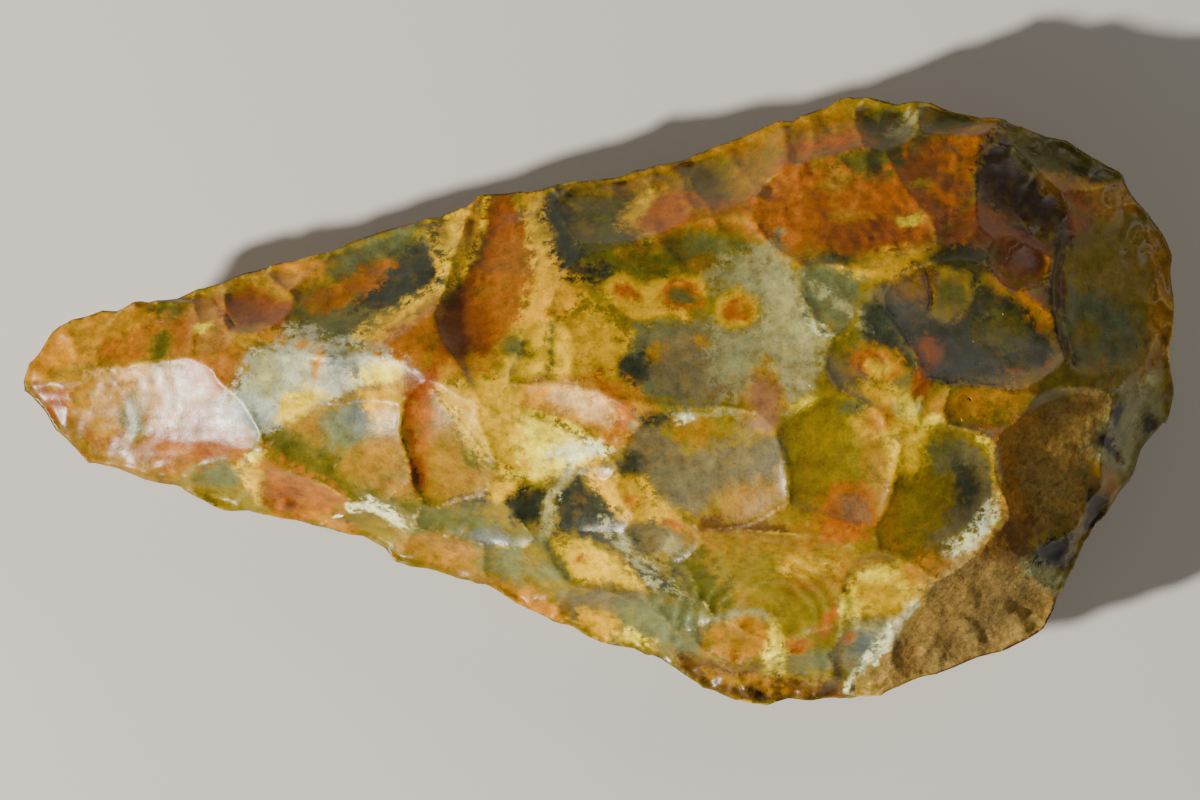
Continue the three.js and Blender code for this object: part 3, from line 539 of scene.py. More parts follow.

# %% [markdown]
# ## Stains of the front, with painted highlights and painted shade among them
# A stain is a colour, how soft its border is in mm, and a shape in mm: an oval (x, y, half length, half
# width, bearing) or the corners of a patch. Later ones lie over earlier ones. On the real stone they
# follow cracks and pores, so no pattern could place them. They are painted from the broad grounds to
# the small spots, first the middle, then the butt, then the point.
# Not all are stains: the marked white, cream and pale spots are painted highlights, some dark strips
# painted shade.

# %% Stains, painted highlights and painted shade of the broad middle
MIDDLE_STAINS_AND_PAINTED_LIGHT = [
    ('rust', 0.4, [(-18.9, 32.6), (-12.8, 32), (-10.6, 22.4), (-11.2, 16), (-14.8, 11.5), (-16.7, 6.4),
        (-21.2, 3.8), (-27.6, 4.5), (-26.6, 9.6), (-25, 14.7), (-21.2, 21.1), (-18.9, 27.5)]),
    ('deep_amber', 1.6, (-14.4, 17.9, 3.8, 7, -10)),
    # partly brown stain, partly painted shade on the wall of the hollow that faces away from the lamp
    ('brown', 0.9, [(-18.9, 32.6), (-17, 31.4), (-18.6, 23.7), (-22.4, 17.3), (-24.7, 12.2),
        (-26.3, 9.6), (-25, 14.7), (-21.2, 21.1)]),
    ('deep_rust', 1.2, (-17.6, 28.8, 1.9, 1.9, 0)),
    ('rust', 1.4, (-21.8, 11.2, 3.1, 2.3, 20)),
    ('amber', 1, [(-27.6, 4.5), (-21.2, 7), (-16.7, 7), (-17.3, 3.8), (-23.7, 3.2)]),
    ('bright_amber', 0.5, [(-12.5, 33.2), (-7.6, 33.4), (-8.2, 28.8), (-7, 23.7), (-2.6, 19.2),
        (-3.9, 16), (-7.1, 12.2), (-12.2, 11.5), (-11.2, 16), (-10.3, 21.1), (-11.2, 26.9)]),
    ('yellow', 0.8, [(-11.2, 32.6), (-8.2, 33), (-8.7, 28.8), (-8.2, 24.3), (-9.6, 23.7),
        (-10.6, 28.2)]),
    ('olive', 0.9, [(-7.4, 34.2), (5.7, 35.8), (10.8, 38.4), (16, 37.4), (12.1, 33.3), (5.1, 30.1),
        (3.2, 26.9), (10.8, 25.6), (7, 19.8), (1.9, 19.2), (-3.9, 22.4), (-5.8, 28.8)]),
    ('dark_slate', 0.7, [(-8.2, 33.4), (-4.5, 34.2), (-3.9, 28.8), (-3.2, 22.4), (2.5, 19.8),
        (-2.6, 19.1), (-6.6, 20.5), (-7.7, 23.7), (-7.1, 26.9), (-8.9, 28.8)]),
    ('olive_yellow', 1, (-2.6, 27.2, 1.7, 1.2, 0)),
    ('olive_yellow', 1, (-3.9, 31.7, 1.4, 0.9, 0)),
    ('ochre', 1.2, [(-5.2, 34.9), (5.7, 35.5), (10.8, 38.4), (21.1, 41.9), (23.6, 40), (16, 35.2),
        (7, 33), (-2.6, 33.6)]),
    ('olive_yellow', 1, [(10.8, 35.8), (19.8, 39.7), (22.4, 37.1), (16, 33.9)]),
    ('yellow', 0.6, [(3.2, 28.2), (7, 33.4), (11.8, 33.2), (13.4, 26.9), (9.6, 25.5), (5.1, 26.8)]),
    ('orange', 0.5, [(5.7, 27.5), (9.2, 32), (12, 33.8), (16, 32), (15, 27.5), (10.8, 25.5)]),
    ('orange', 0.7, [(13.4, 32), (22.4, 31.5), (28.1, 28.8), (34.2, 22.3), (30, 22.9), (23.6, 26.1),
        (19.8, 26.9), (14.7, 27.4)]),
    ('tan', 0.9, (22, 28.8, 4.5, 0.9, -8)),
    ('orange', 0.8, [(22.4, 32), (28.1, 39.4), (35.8, 37.4), (39, 35.8), (45.4, 34.6), (45.4, 19.8),
        (39, 23), (33.9, 22.3), (28.1, 26.2)]),
    ('ochre', 1, [(21.7, 37.1), (25.6, 39), (28.8, 38.4), (25.6, 33.3), (22.4, 32)]),
    ('rust', 1.2, [(34.5, 26.9), (39, 27.5), (45.4, 26.9), (45.4, 22.4), (36.4, 23)]),
    ('amber', 1, (32.6, 29.6, 2.4, 1.3, 0)),
    ('amber', 1, (39, 29.6, 2.3, 1.3, 0)),
    ('tan', 0.5, (25.6, 34.9, 1.4, 0.9, -30)),
    ('ochre', 1, [(19.2, 41.3), (29.4, 45.8), (39, 48.3), (45.4, 48), (45.4, 44.2), (35.8, 41.6),
        (28.1, 40), (22.4, 38.4)]),
    ('orange', 0.7, [(29.4, 41), (35.8, 42.2), (44.1, 41.9), (43.5, 39.7), (36.4, 40.3), (30, 38.7)]),
    ('olive', 0.9, [(36.4, 38.4), (45.4, 39.7), (45.4, 35.8), (41.6, 34.9), (38.4, 35.8)]),
    ('ochre', 0.6, (8.6, 24.2, 3.1, 0.6, 2)),
    ('olive', 1.2, [(10.8, 25.6), (19.8, 26.9), (25.6, 24.3), (24.9, 19.8), (19.8, 19.8), (13.4, 19.8),
        (5.7, 19.2)]),
    ('olive_grey', 1.2, (17.2, 24.2, 3.8, 1.5, 0)),
    ('grey_green', 1.4, [(5.1, 12.2), (10.8, 13.4), (16, 12.2), (19.8, 12.2), (23.6, 8.3), (22.4, 1.9),
        (13.4, -0.6), (5.7, 0.6), (3.8, 5.8)]),
    ('warm_grey', 1.4, [(8.3, 9.6), (16, 12.2), (22.4, 9.6), (24.9, 7), (22.4, 0.6), (13.4, -0.6),
        (8.3, 3.2)]),
    ('pale_grey', 1.3, [(16, 19.2), (25.6, 24.3), (28.1, 25), (31.3, 19.8), (32.6, 13.4), (35.5, 8.3),
        (34.5, 3.2), (30.7, -0.6), (23.6, -2.6), (19.2, 3.2), (18.5, 12.2), (22.4, 10.9),
        (26.2, 14.7)]),
    ('light_grey', 1, [(27.2, 21.4), (31.3, 19.2), (32.6, 13.4), (35.7, 8.3), (33.9, 3.8), (29.4, 7),
        (26.2, 12.2), (26.2, 17.3)]),
    ('yellow', 0.6, [(0.9, 18.6), (3.8, 20.1), (7, 17.4), (9.6, 19.1), (16.3, 19.3), (16.6, 17.3),
        (13.4, 13.1), (9.6, 13.8), (7, 12.9), (3.8, 13.8), (1.9, 16)]),
    ('orange', 0.5, (3.8, 17.4, 1.8, 1.2, -25)),
    ('orange', 0.4, (12.8, 16.6, 3, 2.1, -10)),
    ('olive_grey', 0.4, (12.9, 16.6, 1.7, 1.1, -15)),
    ('yellow', 0.6, (21.6, 14.2, 3, 2.6, 0)),
    ('orange', 0.5, (21.7, 14.3, 2.1, 1.8, 0)),
    ('tan', 0.4, (22.4, 14.6, 0.9, 0.8, 0)),
    ('ochre', 0.7, (8.6, 7.6, 1.5, 1.3, 0)),
    ('ochre', 0.6, (16.3, 9.6, 1, 0.8, 0)),
    ('ochre', 0.8, (16, 21.6, 1.8, 0.8, 0)),
    ('yellow', 0.9, [(-15.4, 7), (-12.2, 11.5), (-5.8, 12.2), (-0.7, 14.4), (3.2, 9.6), (3.5, 5.1),
        (5.4, 1.8), (0.6, 3.2), (-2.6, 3.7), (-9, 3.2), (-15.1, 3.8)]),
    ('pale_yellow', 1, [(-14.8, 7), (-10.9, 10.2), (-5.8, 9.6), (-3.9, 4.5), (-9.6, 3.5),
        (-14.4, 4.2)]),
    ('olive_grey', 1, (-13.4, 8.3, 2.2, 1.7, 0)),
    ('olive_grey', 0.5, (-7.7, 8.4, 0.4, 2.7, 0)),
    ('slate', 0.5, (-9, 3.4, 1.4, 0.6, 10)),
    ('slate', 0.8, [(2.8, 6.4), (7, 8.3), (8, 4.5), (5.4, 1.9), (2.5, 3.8)]),
    ('amber', 0.6, [(-1.3, 4.2), (5.1, 2.2), (8.4, -1.9), (7.3, -5.8), (3.2, -7.8), (-0.7, -6.4),
        (1.9, -1.9)]),
    ('peach', 0.4, [(-15.4, 1.9), (-5.8, 3.2), (-1.3, 3.8), (2.5, 0.6), (5.2, -2.6), (3.2, -5.1),
        (-2, -4.5), (-9, -2.6), (-14.1, -1.3)]),
    ('pale_pink', 1, (-3.2, -0.1, 4.5, 1.5, -22)),
    ('orange', 0.4, [(-1.2, 3.8), (2.9, 1), (5.6, -2.6), (3.2, -5.4), (0.6, -7), (2.2, -5.1),
        (4.1, -2.6), (1.6, 0.5)]),
    # the cream spots here and the white oval below are painted glare on these scars
    ('cream', 0.5, (-17.4, 1.6, 2.7, 1.3, -10)),
    ('cream', 0.4, [(-18.3, -0.6), (-14.1, -1.4), (-5.8, -4.5), (0.1, -7.6), (-1.3, -9.6),
        (-7.1, -11.5), (-10.3, -13.4), (-15.4, -9.6), (-18.3, -5.1)]),
    ('white', 0.7, (-3.6, -8.3, 3.2, 1.2, 12)),
    ('cream', 0.6, (-17.3, -3.5, 1.2, 1.7, -25)),
    ('olive', 0.5, (-19.6, -9, 2.7, 1, -42)),
    ('slate', 0.6, [(-25, -16), (-18.6, -13.6), (-14.8, -14.8), (-21.2, -16.9)]),
    ('yellow', 0.8, [(-18.6, -12.2), (-10.6, -13.3), (-10.9, -16), (-16.7, -16)]),
    ('dark_slate', 0.6, [(-15.5, -16.3), (-11.6, -13.6), (-8.2, -14.2), (-9, -18.9), (-12.2, -20.2)]),
    ('dark_slate', 0.6, [(-7.7, -14.1), (-3.9, -12), (-0.4, -13.8), (2.8, -17.3), (2.6, -21.4),
        (-2, -20.6), (-6.8, -20.2)]),
    ('light_grey', 0.3, [(-5, -10.6), (-8.2, -16), (-9, -21.4), (-8.2, -21.4), (-7.3, -16),
        (-4.4, -11.2)]),
    ('warm_grey', 1, [(6.7, -3.2), (13.4, -7.7), (21.1, -7), (29.7, -3.2), (30.2, -9.6), (27.8, -12.2),
        (19.8, -14.7), (14.7, -18.2), (10.8, -17.3), (7, -13.4), (3.8, -10.9), (5.7, -6.4)]),
    ('yellow', 0.7, [(-1.3, -9.9), (3.2, -11.4), (8.3, -16), (12.9, -18.6), (13.5, -21.4), (10.5, -20),
        (5.1, -19.3), (1.9, -16.8), (-0.7, -13.1)]),
    ('orange', 0.6, (11.8, -20.2, 1.4, 0.9, -20)),
    ('orange', 0.7, (4.8, -16, 0.9, 0.6, 0)),
    ('slate', 0.8, (4.4, -10.4, 2, 1.4, 20)),
    ('slate', 0.9, (9.6, -3.2, 2.2, 0.9, 0)),
    ('ochre', 0.6, [(11.4, -2.7), (16.1, -1.9), (17.8, -4.6), (15.4, -7.8), (12.1, -5.9)]),
    ('white', 0.3, [(11.8, -3.2), (13.4, -2), (14.8, -2.4), (12.8, -3.6)]),
    ('light_grey', 0.3, [(10.8, -2.1), (23, -1.7), (30.2, -2.4), (34.2, -0.6), (30.2, -3.1),
        (23, -2.5)]),
    ('ochre', 0.8, [(22.7, 1.6), (25.6, 6.5), (28.2, 3.8), (29.5, -0.6), (28.2, -5.2), (24.3, -4.8),
        (22.2, -1.3)]),
    ('pink_grey', 0.7, (25.7, 0.5, 2.6, 3.1, 0)),
    ('pink_grey', 0.6, (26, -3.2, 2.3, 1.3, 0)),
    ('pale_grey', 0.9, [(28.8, 3.2), (32.6, 7), (35.7, 7), (34.5, 2.9), (31.3, 0.3)]),
    ('cream', 0.5, [(30.2, -2.6), (31.3, 0), (34.6, 0.8), (32.9, -1.8)]),
    ('ochre', 1.4, [(16, -18.9), (19.8, -14.7), (29.4, -11.5), (30.7, -18.2), (26.2, -19.5),
        (19.8, -19.5)]),
    ('olive_yellow', 0.8, [(30, -3.2), (35.2, -0.6), (39, -1.9), (45.4, -5.1), (45.4, -12.2),
        (37.7, -12.2), (32.6, -16), (30.2, -18.9)]),
    ('ochre', 1.2, (34.5, -7, 3.2, 1.9, 20)),
    ('ochre', 1, [(14, -20.5), (30.7, -19.5), (35.8, -16.6), (39.3, -22.4), (35.8, -24), (39, -28.8),
        (35.8, -32.8), (29.4, -34.7), (23.6, -32.8), (16.6, -28.3), (13.4, -23.7)]),
    ('olive_yellow', 1.4, (23.6, -27.5, 7, 3.2, -5)),
    ('brown', 0.5, [(16, -18.7), (29.7, -19.8), (30.2, -21), (19.8, -20.9), (15.4, -20.9)]),
    ('olive', 0.9, [(10.8, -24.3), (15, -23.6), (19.8, -28.8), (21.4, -32.8), (16, -34.7),
        (10.8, -32.1)]),
    ('warm_grey', 0.6, [(3, -20.6), (8.3, -19.2), (12.9, -21.8), (12.2, -24.4), (7, -24.4),
        (3.8, -23.2)]),
    ('light_grey', 0.6, (11.2, -23.2, 1.2, 1.2, 0)),
    ('slate', 0.6, [(-5.9, -21.2), (0.6, -19.8), (4.4, -22.4), (12.2, -28.8), (11.6, -31.7), (7, -28.9),
        (2.5, -23.8), (-3.2, -22.7)]),
    ('light_grey', 0.3, (7.3, -26.6, 4.8, 0.4, -45)),
    ('pale_yellow', 0.7, [(-6.1, -23), (-2, -23), (3.8, -26.2), (7.3, -30.8), (1.9, -29.6),
        (-3.9, -28.3), (-6.7, -25.6)]),
    ('orange', 0.5, (-2.9, -25, 0.9, 0.7, 0)),
    ('grey_green', 0.8, [(-16.8, -22.5), (-9.6, -21.1), (-5.8, -25.6), (-4.4, -28.9), (-10.3, -27.6),
        (-14.8, -25.7)]),
    ('olive_yellow', 0.8, (-10.6, -24.6, 2.9, 1.2, -20)),
    ('amber', 0.6, [(-16.4, -28.7), (-10.3, -30.4), (-5.5, -34.7), (-9.6, -34.9), (-12.8, -32.8),
        (-16.8, -30)]),
    ('warm_grey', 0.6, [(-6.6, -31.5), (0.6, -29.4), (7, -30.7), (9.9, -34.7), (4.1, -35.3), (2, -38.5),
        (-4, -35.3)]),
    ('yellow', 0.6, [(-3.4, -34), (1.9, -33.3), (3.3, -36), (0.7, -38.3), (-2.6, -36)]),
    ('grey_green', 0.9, [(3.2, -32.1), (10.8, -31.5), (17.4, -34.7), (17.4, -39.2), (12.1, -41.1),
        (8.3, -38.5), (3.8, -37.2)]),
    ('cream', 0.5, (5.6, -38.5, 1.9, 0.5, -20)),
    ('pale_grey', 0.5, [(16.5, -34.7), (24.9, -33.2), (29.1, -34.6), (26.2, -35.3), (19.8, -35.3)]),
    ('amber', 0.5, [(17.1, -36.6), (23.6, -34.7), (27.6, -37.2), (26.3, -39.8), (21.1, -41.7),
        (17.8, -39.8)]),
    ('ochre', 0.8, (21.7, -38.4, 2.9, 1.6, -5)),
    ('cream', 0.8, [(27.2, -35.2), (31.6, -37.8), (29.4, -43.2), (26.2, -44.2), (27, -40.3)]),
    ('olive_yellow', 1, [(29.4, -34.6), (35.8, -33.9), (45.4, -35.2), (45.4, -41.6), (35.8, -44.8),
        (30.7, -43.5)]),
    ('grey_green', 0.9, (34.5, -41.6, 3.2, 1.9, 0)),
    ('orange', 0.5, (36.1, -34.7, 0.8, 2.2, -15)),
    ('orange', 0.5, (31.6, -39.4, 1.4, 0.8, 10)),
    ('orange', 0.5, (40.3, -37.8, 1.2, 0.7, 0)),
    ('olive_yellow', 1, [(24.9, -28.8), (35.8, -28.2), (37.2, -34), (28.1, -34.7), (23.6, -32.1)]),
    ('brown', 0.7, [(12.1, -41.1), (19.8, -41.7), (29.4, -44.9), (39, -45.4), (39.6, -47.5),
        (26.2, -48.3), (18.5, -46.4), (13.4, -43.2)]),
    ('tan', 0.5, (23.6, -44.8, 3.8, 0.8, -10)),
    ('ochre', 0.4, (19.8, -44.2, 1.8, 0.4, -25)),
    ('ochre', 0.4, (28.1, -46.6, 1.9, 0.3, -5)),
    ('orange', 1, (39.6, -17.3, 4.7, 4.6, 0)),
    ('orange', 0.8, (36.8, -21.8, 1.8, 1.3, 20)),
    ('pink_grey', 0.7, (39.8, -17, 2.9, 2.4, 0)),
]

# %% Stains, painted highlights and painted shade of the butt
BUTT_STAINS_AND_PAINTED_LIGHT = [
    ('olive_yellow', 0.9, [(37.7, 47.8), (46.6, 48.4), (54.3, 47.1), (62, 45.2), (64.9, 44.2),
        (60.7, 42.3), (51.1, 41.6), (46, 37.2), (42.2, 34.6), (37.7, 37.2), (40.9, 43.6)]),
    ('olive', 0.7, [(40.9, 44.9), (46.6, 46.2), (49.2, 43), (47.3, 41.4), (42.8, 41)]),
    ('olive', 0.7, [(51.1, 42.8), (55.6, 46.3), (60.7, 44.4), (58.2, 42.8), (53, 42.2)]),
    # painted glint on this small facet
    ('light_grey', 0.4, [(45.6, 42.8), (51.2, 46.7), (49.3, 42.8), (47.3, 41.6)]),
    ('ochre', 0.5, [(51, 41.4), (56.9, 42.2), (62.8, 44.4), (64.9, 44.1), (62, 41.4), (51.1, 39.6)]),
    ('ochre', 0.9, [(30, 44.9), (36.4, 47.8), (41.5, 45.6), (40.2, 43), (33.8, 42), (30, 41.4)]),
    ('orange', 0.6, [(32.9, 40.3), (39.6, 43), (44.2, 41.7), (42.9, 39.6), (36.4, 39.5)]),
    ('olive', 0.8, [(37, 37.8), (42.8, 40.4), (47.3, 41.6), (49.3, 39.1), (45.4, 35.2), (41.5, 34.5)]),
    ('orange', 0.6, [(49.2, 39), (56.9, 41.7), (62.1, 41), (59.6, 35.9), (59.6, 32.7), (51.8, 24.3),
        (46, 22.8), (36.4, 26), (30, 28.9), (30, 37.2), (36.4, 37.2), (41.5, 34.5), (46, 35.2)]),
    ('rust', 1.2, [(35.1, 30.2), (42.8, 30.8), (51.9, 24.9), (46, 22.4), (37.7, 23), (33.8, 24.3)]),
    ('orange', 1.2, (54.3, 31.4, 3.8, 2.6, 30)),
    ('tan', 0.9, (37.2, 34.6, 2.4, 1.7, 0)),
    ('amber', 0.9, (39, 29.4, 2.6, 1, 0)),
    ('yellow', 0.4, (51.1, 34.3, 1.4, 0.8, 0)),
    ('cream', 0.4, (49.5, 28.6, 1.4, 0.8, 0)),
    ('yellow', 0.9, [(33.8, 21.8), (42.8, 22.5), (51.1, 23.9), (47.9, 18), (39.6, 19.2)]),
    ('ochre', 0.9, (33.8, 22.5, 3.2, 1.6, 0)),
    ('rust', 0.7, [(55.6, 28.9), (60.1, 32.1), (65.8, 28.9), (71, 25.7), (72.4, 21.8), (69.8, 19.2),
        (63.3, 20.4), (63.3, 24.4), (53, 23.9)]),
    ('deep_rust', 0.6, (66.6, 23, 3.3, 2.9, 0)),
    ('rust', 0.5, (66, 22.5, 2.3, 2, 0)),
    # partly the facet's own rust brown, partly painted shade, as this facet faces away from the lamp
    ('dark_brown', 0.4, [(64.7, 43.1), (67.9, 36.4), (73.6, 31.4), (74.3, 26.2), (69.8, 26.8),
        (65.2, 28.8), (60.2, 32.6), (59.4, 35.9), (62, 39.8)]),
    ('brown', 0.8, [(60.7, 33.2), (65.8, 30.2), (71, 27.6), (71, 26.6), (65.2, 28.6)]),
    ('dark_olive', 0.6, [(51.6, 23), (55.6, 24.4), (59.4, 23.9), (63.4, 21.1), (62, 19.7), (56.9, 20),
        (52.4, 21.7)]),
    ('dark_olive', 0.8, (37.7, 22.1, 2.6, 0.8, 0)),
    ('dark_olive', 0.8, [(40.2, 11.6), (46, 15.4), (51.8, 14.2), (55, 12.9), (58.8, 18), (63.3, 18.3),
        (68.4, 14.2), (72.4, 9), (71.1, 4.9), (65.8, 3.2), (56.9, 1.9), (52.4, 1.2), (49.2, 3.8),
        (42.8, 8.9)]),
    ('slate', 0.8, [(40.2, 14), (44.7, 17.4), (51.1, 14.3), (51.1, 9), (45.4, 7.2), (40.9, 8.9)]),
    ('slate', 1.2, (58.8, 5.8, 5.1, 1.9, 10)),
    ('olive', 1.5, (63.9, 10.3, 3.8, 2.6, -20)),
    ('warm_grey', 0.8, (45, 16.4, 2.6, 1, -20)),
    ('deep_amber', 0.6, [(62, 20.7), (65.8, 18.8), (71.3, 14.5), (72.6, 10), (71, 11.5), (67.1, 15.3),
        (62, 18.6)]),
    ('brown', 0.4, [(45.9, 17.9), (49.2, 21.3), (53.2, 20), (51.9, 15.3), (47.3, 16)]),
    ('ochre', 1.2, (49.2, 18, 1.7, 1.3, 0)),
    ('olive_yellow', 0.4, [(52.5, 15.1), (53.8, 20), (57.6, 18.8), (58.3, 16), (55, 12.8), (52.1, 14)]),
    ('olive', 0.7, (55.1, 16.7, 2, 2.2, 0)),
    ('rust', 0.5, (51.6, 8.1, 1.9, 2.2, 0)),
    ('rust', 0.5, (50.6, 2.5, 1.3, 2.4, 0)),
    ('rust', 0.4, [(63.4, 5.2), (68.4, 3.9), (71.9, 6.5), (71.1, 3.8), (67.8, 2.1), (64.6, 3.2)]),
    ('rust', 0.5, (79, 4.6, 1.3, 0.9, 0)),
    ('grey_green', 1, [(37, 12.9), (40.2, 11.6), (40.9, 7.8), (45.4, 5.2), (49.2, 2.6), (46, 1.2),
        (40.9, 2.5), (37.7, 5.1)]),
    ('olive_yellow', 1, [(35.6, 10.2), (40.2, 12.2), (40.2, 7.6), (37.8, 1.9), (33.8, -1.3),
        (35.1, 5.1)]),
    ('amber', 0.8, (43.1, 5.3, 3.6, 2.8, -10)),
    ('orange', 0.4, (42.2, 5.8, 2.3, 1.9, 0)),
    ('pale_yellow', 0.7, (43.6, 4.8, 1.2, 1, 0)),
    ('olive_yellow', 1, [(49.2, 1.4), (56.9, 2.3), (71, 4.2), (82.8, 2.8), (81.2, 0.6), (71.6, 0),
        (64.6, -3.2), (63.3, -5.8), (53, -4.5), (49.2, -3.2)]),
    ('tan', 0.9, [(51.8, 0.1), (58.2, 1.4), (69.7, 2.6), (65.8, -1.8), (56.9, -3.1), (51.8, -3.1)]),
    ('rust', 0.8, (50.6, 2.3, 1.3, 2.3, 0)),
    ('yellow', 1, [(39, 1.2), (42.8, 2.6), (46.8, 1.2), (49.3, -2.6), (48, -6.4), (42.8, -6.4),
        (39.6, -3.2)]),
    ('amber', 0.8, (44.2, -3.2, 2.6, 1.8, 0)),
    ('olive_grey', 0.7, (39.6, -1.2, 2.2, 1.4, 0)),
    ('light_grey', 0.6, (48.6, -1.3, 1.8, 1.5, 0)),
    # painted glint
    ('cream', 0.3, [(50.6, -5.6), (52.1, -2.6), (53.8, -3.1), (52.4, -5.2)]),
    ('orange', 0.8, [(57.5, -3.9), (63.3, -4.4), (62.8, -7.9), (59.4, -5.8)]),
    ('olive_yellow', 1.2, [(30, -3.1), (39, -4.4), (42.8, -11.4), (36.4, -12.1), (30, -12.7)]),
    ('ochre', 0.9, [(41.5, -6.3), (48.6, -6.4), (48, -14), (48.7, -20.4), (52.5, -25.8), (46, -23.7),
        (42.8, -14)]),
    ('olive_yellow', 0.7, [(48.4, -7.6), (53, -4.4), (58.8, -5), (62.8, -8.9), (63.7, -14),
        (62.8, -19.9), (57.5, -25), (51.8, -26.3), (47.9, -21.7), (47.9, -14)]),
    ('olive_grey', 0.9, [(51.1, -7), (56.9, -6.3), (60.1, -9.5), (55.6, -11.4), (51.8, -10.2)]),
    ('warm_grey', 1.5, [(55, -9.5), (58.2, -7.6), (61.4, -10.8), (62.9, -14), (62.3, -18),
        (56.9, -21.8), (53.4, -24.6), (52.5, -22.3), (56.9, -16.9), (57.5, -12.7)]),
    ('olive_yellow', 0.6, (58.8, -12.4, 1, 1.7, 0)),
    # this cream band and the white crescent below are partly the pale rim of the flint, partly painted
    # glare
    ('cream', 0.4, [(60.1, -5.2), (63.4, -9.2), (64, -14.6), (62.8, -19.9), (60.7, -23), (62.6, -15.9),
        (62.3, -9.8)]),
    ('white', 0.5, [(53.7, -25.5), (58.8, -21.8), (62, -17.3), (63, -14.6), (63, -19.4), (59.6, -23.7),
        (55.6, -26)]),
    ('ochre', 1, [(30, -23.6), (42.8, -24.2), (49.2, -26.9), (42.8, -30.8), (30, -30.1)]),
    ('yellow', 0.8, (33.8, -26.2, 3.2, 1.2, 0)),
    ('cream', 0.7, [(37.6, -33.3), (42.2, -26.8), (47.9, -26.9), (51.2, -29.5), (46.8, -33.3),
        (39, -34.6)]),
    ('peach', 0.5, [(47, -26.9), (51.8, -24.4), (57.2, -26.2), (51.8, -28.8), (49.2, -30.1)]),
    ('pale_grey', 0.7, [(39.6, -35.9), (46.8, -34), (48.7, -35.9), (44.1, -41.6), (40.2, -44.8),
        (37.6, -42.2)]),
    ('blue_grey', 0.8, (42.2, -39, 1.9, 1.7, 40)),
    # partly the pale rim of the flint, partly painted glare
    ('white', 0.4, [(50.4, -30.5), (51, -32.6), (46.1, -39.7), (41.6, -45), (39.9, -46.1),
        (42.8, -42.2), (47.3, -35.2)]),
    ('orange', 0.4, (36.1, -34.6, 0.8, 1.9, -25)),
    ('orange', 0.4, (39.6, -37.7, 0.9, 0.8, 0)),
    ('orange', 0.4, (31.9, -39.1, 1.5, 0.6, 0)),
    ('sand', 0.3, [(54.6, -26.3), (60.7, -23.6), (65.8, -19.6), (68.5, -20.4), (68.4, -26.8),
        (72.6, -30.3), (73.2, -35.4), (70, -39), (62, -41.5), (55.6, -44.6), (47.3, -47.3),
        (41.6, -45.9), (46.8, -39.7), (51.2, -32.7), (51, -30.1)]),
    ('sand', 0.3, [(62.5, -5.8), (68.4, -1.2), (73.5, 0.5), (82.6, 0.8), (80, -4.4), (77.8, -11.4),
        (77.2, -18), (74.9, -20.5), (69, -19.9), (65.8, -19.8), (62, -23.6), (60.7, -23.6),
        (63.3, -19.1), (63.5, -11.4)]),
    # this and the dark sand below are painted shade on the rind's left wall, which faces away from the lamp
    ('brown_sand', 1.2, [(62.4, -5.8), (68.4, -1.2), (71.3, -0.4), (66, -6.3), (65.6, -11.4),
        (68.4, -17.2), (69, -22.3), (65.8, -21.7), (63.6, -19.1), (63.6, -13.4)]),
    ('dark_sand', 1, [(63.3, -20.1), (68.4, -17.8), (69.2, -20.7), (67.1, -25.8), (60.7, -24.6)]),
    ('black', 0.4, [(67.6, -26.3), (71.6, -22.3), (75.6, -21.6), (74.9, -26.3), (71, -27.6),
        (67.8, -28.2)]),
    ('light_grey', 0.4, (71, -28, 3.3, 1.4, -35)),
    ('pale_grey', 0.7, [(82.5, 0.7), (87.6, 2.1), (91.6, 0.1), (90.9, -4.5), (86.4, -7.7),
        (85.8, -12.8), (82.6, -16), (78.6, -14.1), (77.9, -9.6), (80.6, -4.5)]),
    ('ochre', 0.8, [(78.6, -10.2), (82.5, -11.4), (84.4, -14.6), (81.2, -16.6), (78.1, -14)]),
    # this black strip and the next are painted shade where the step at the rind's right border drops
    ('black', 0.5, [(80.9, -5.2), (82, -7.6), (83.4, -9.8), (80.6, -7.9), (79.2, -6.3)]),
    ('black', 0.5, [(81.2, -2), (83.2, 0.2), (82, -4.5)]),
    ('slate', 0.6, (87.9, -3.9, 1.2, 1.4, 0)),
    # painted shade along the same step
    ('black', 0.4, [(77.9, -14.6), (81.3, -16), (80.2, -19.9), (77.2, -20.5)]),
    ('olive', 0.8, [(64.7, 43.1), (71.6, 41.8), (78.6, 38.5), (83.2, 35.3), (79.9, 33.9), (74.8, 34.5),
        (68.4, 35.9), (66, 38.5)]),
    ('dark_olive', 0.7, (77.4, 35.7, 2.6, 1.1, -20)),
    ('tan', 0.6, [(69.6, 35.9), (74.8, 35.3), (83.2, 34), (85.8, 30), (83.1, 28.1), (78.6, 28.8),
        (74.2, 31.4), (71, 33.2)]),
    ('rust', 1, (76.1, 31.4, 3.2, 1.6, -25)),
    ('olive_yellow', 0.8, [(74.2, 30.8), (78.6, 27.6), (85.2, 28.9), (87.7, 25.7), (89, 18), (87.7, 9),
        (83.9, 5.1), (78.6, 6.4), (74.8, 5.7), (72.4, 11.5), (71.7, 19.2), (73.5, 24.3)]),
    ('rust', 0.6, [(73.8, 30.8), (78.8, 28.1), (76.2, 24.9), (73.5, 24.9)]),
    ('olive_yellow', 0.9, [(76.1, 24.4), (85, 27.9), (87.6, 22.5), (87.3, 15.4), (83.8, 12.6),
        (79.9, 17.7), (74.8, 21.8)]),
    ('grey_green', 0.9, [(73.6, 18.6), (79.9, 16.4), (85.2, 12.1), (86.4, 7.6), (81.2, 5.7),
        (76.1, 5.7), (73.5, 10.2)]),
    ('olive_yellow', 1, (77.4, 11, 1.9, 1.9, 0)),
    ('rust', 0.6, (72.8, 17.2, 0.8, 1.5, 0)),
    # painted shade in the crevice
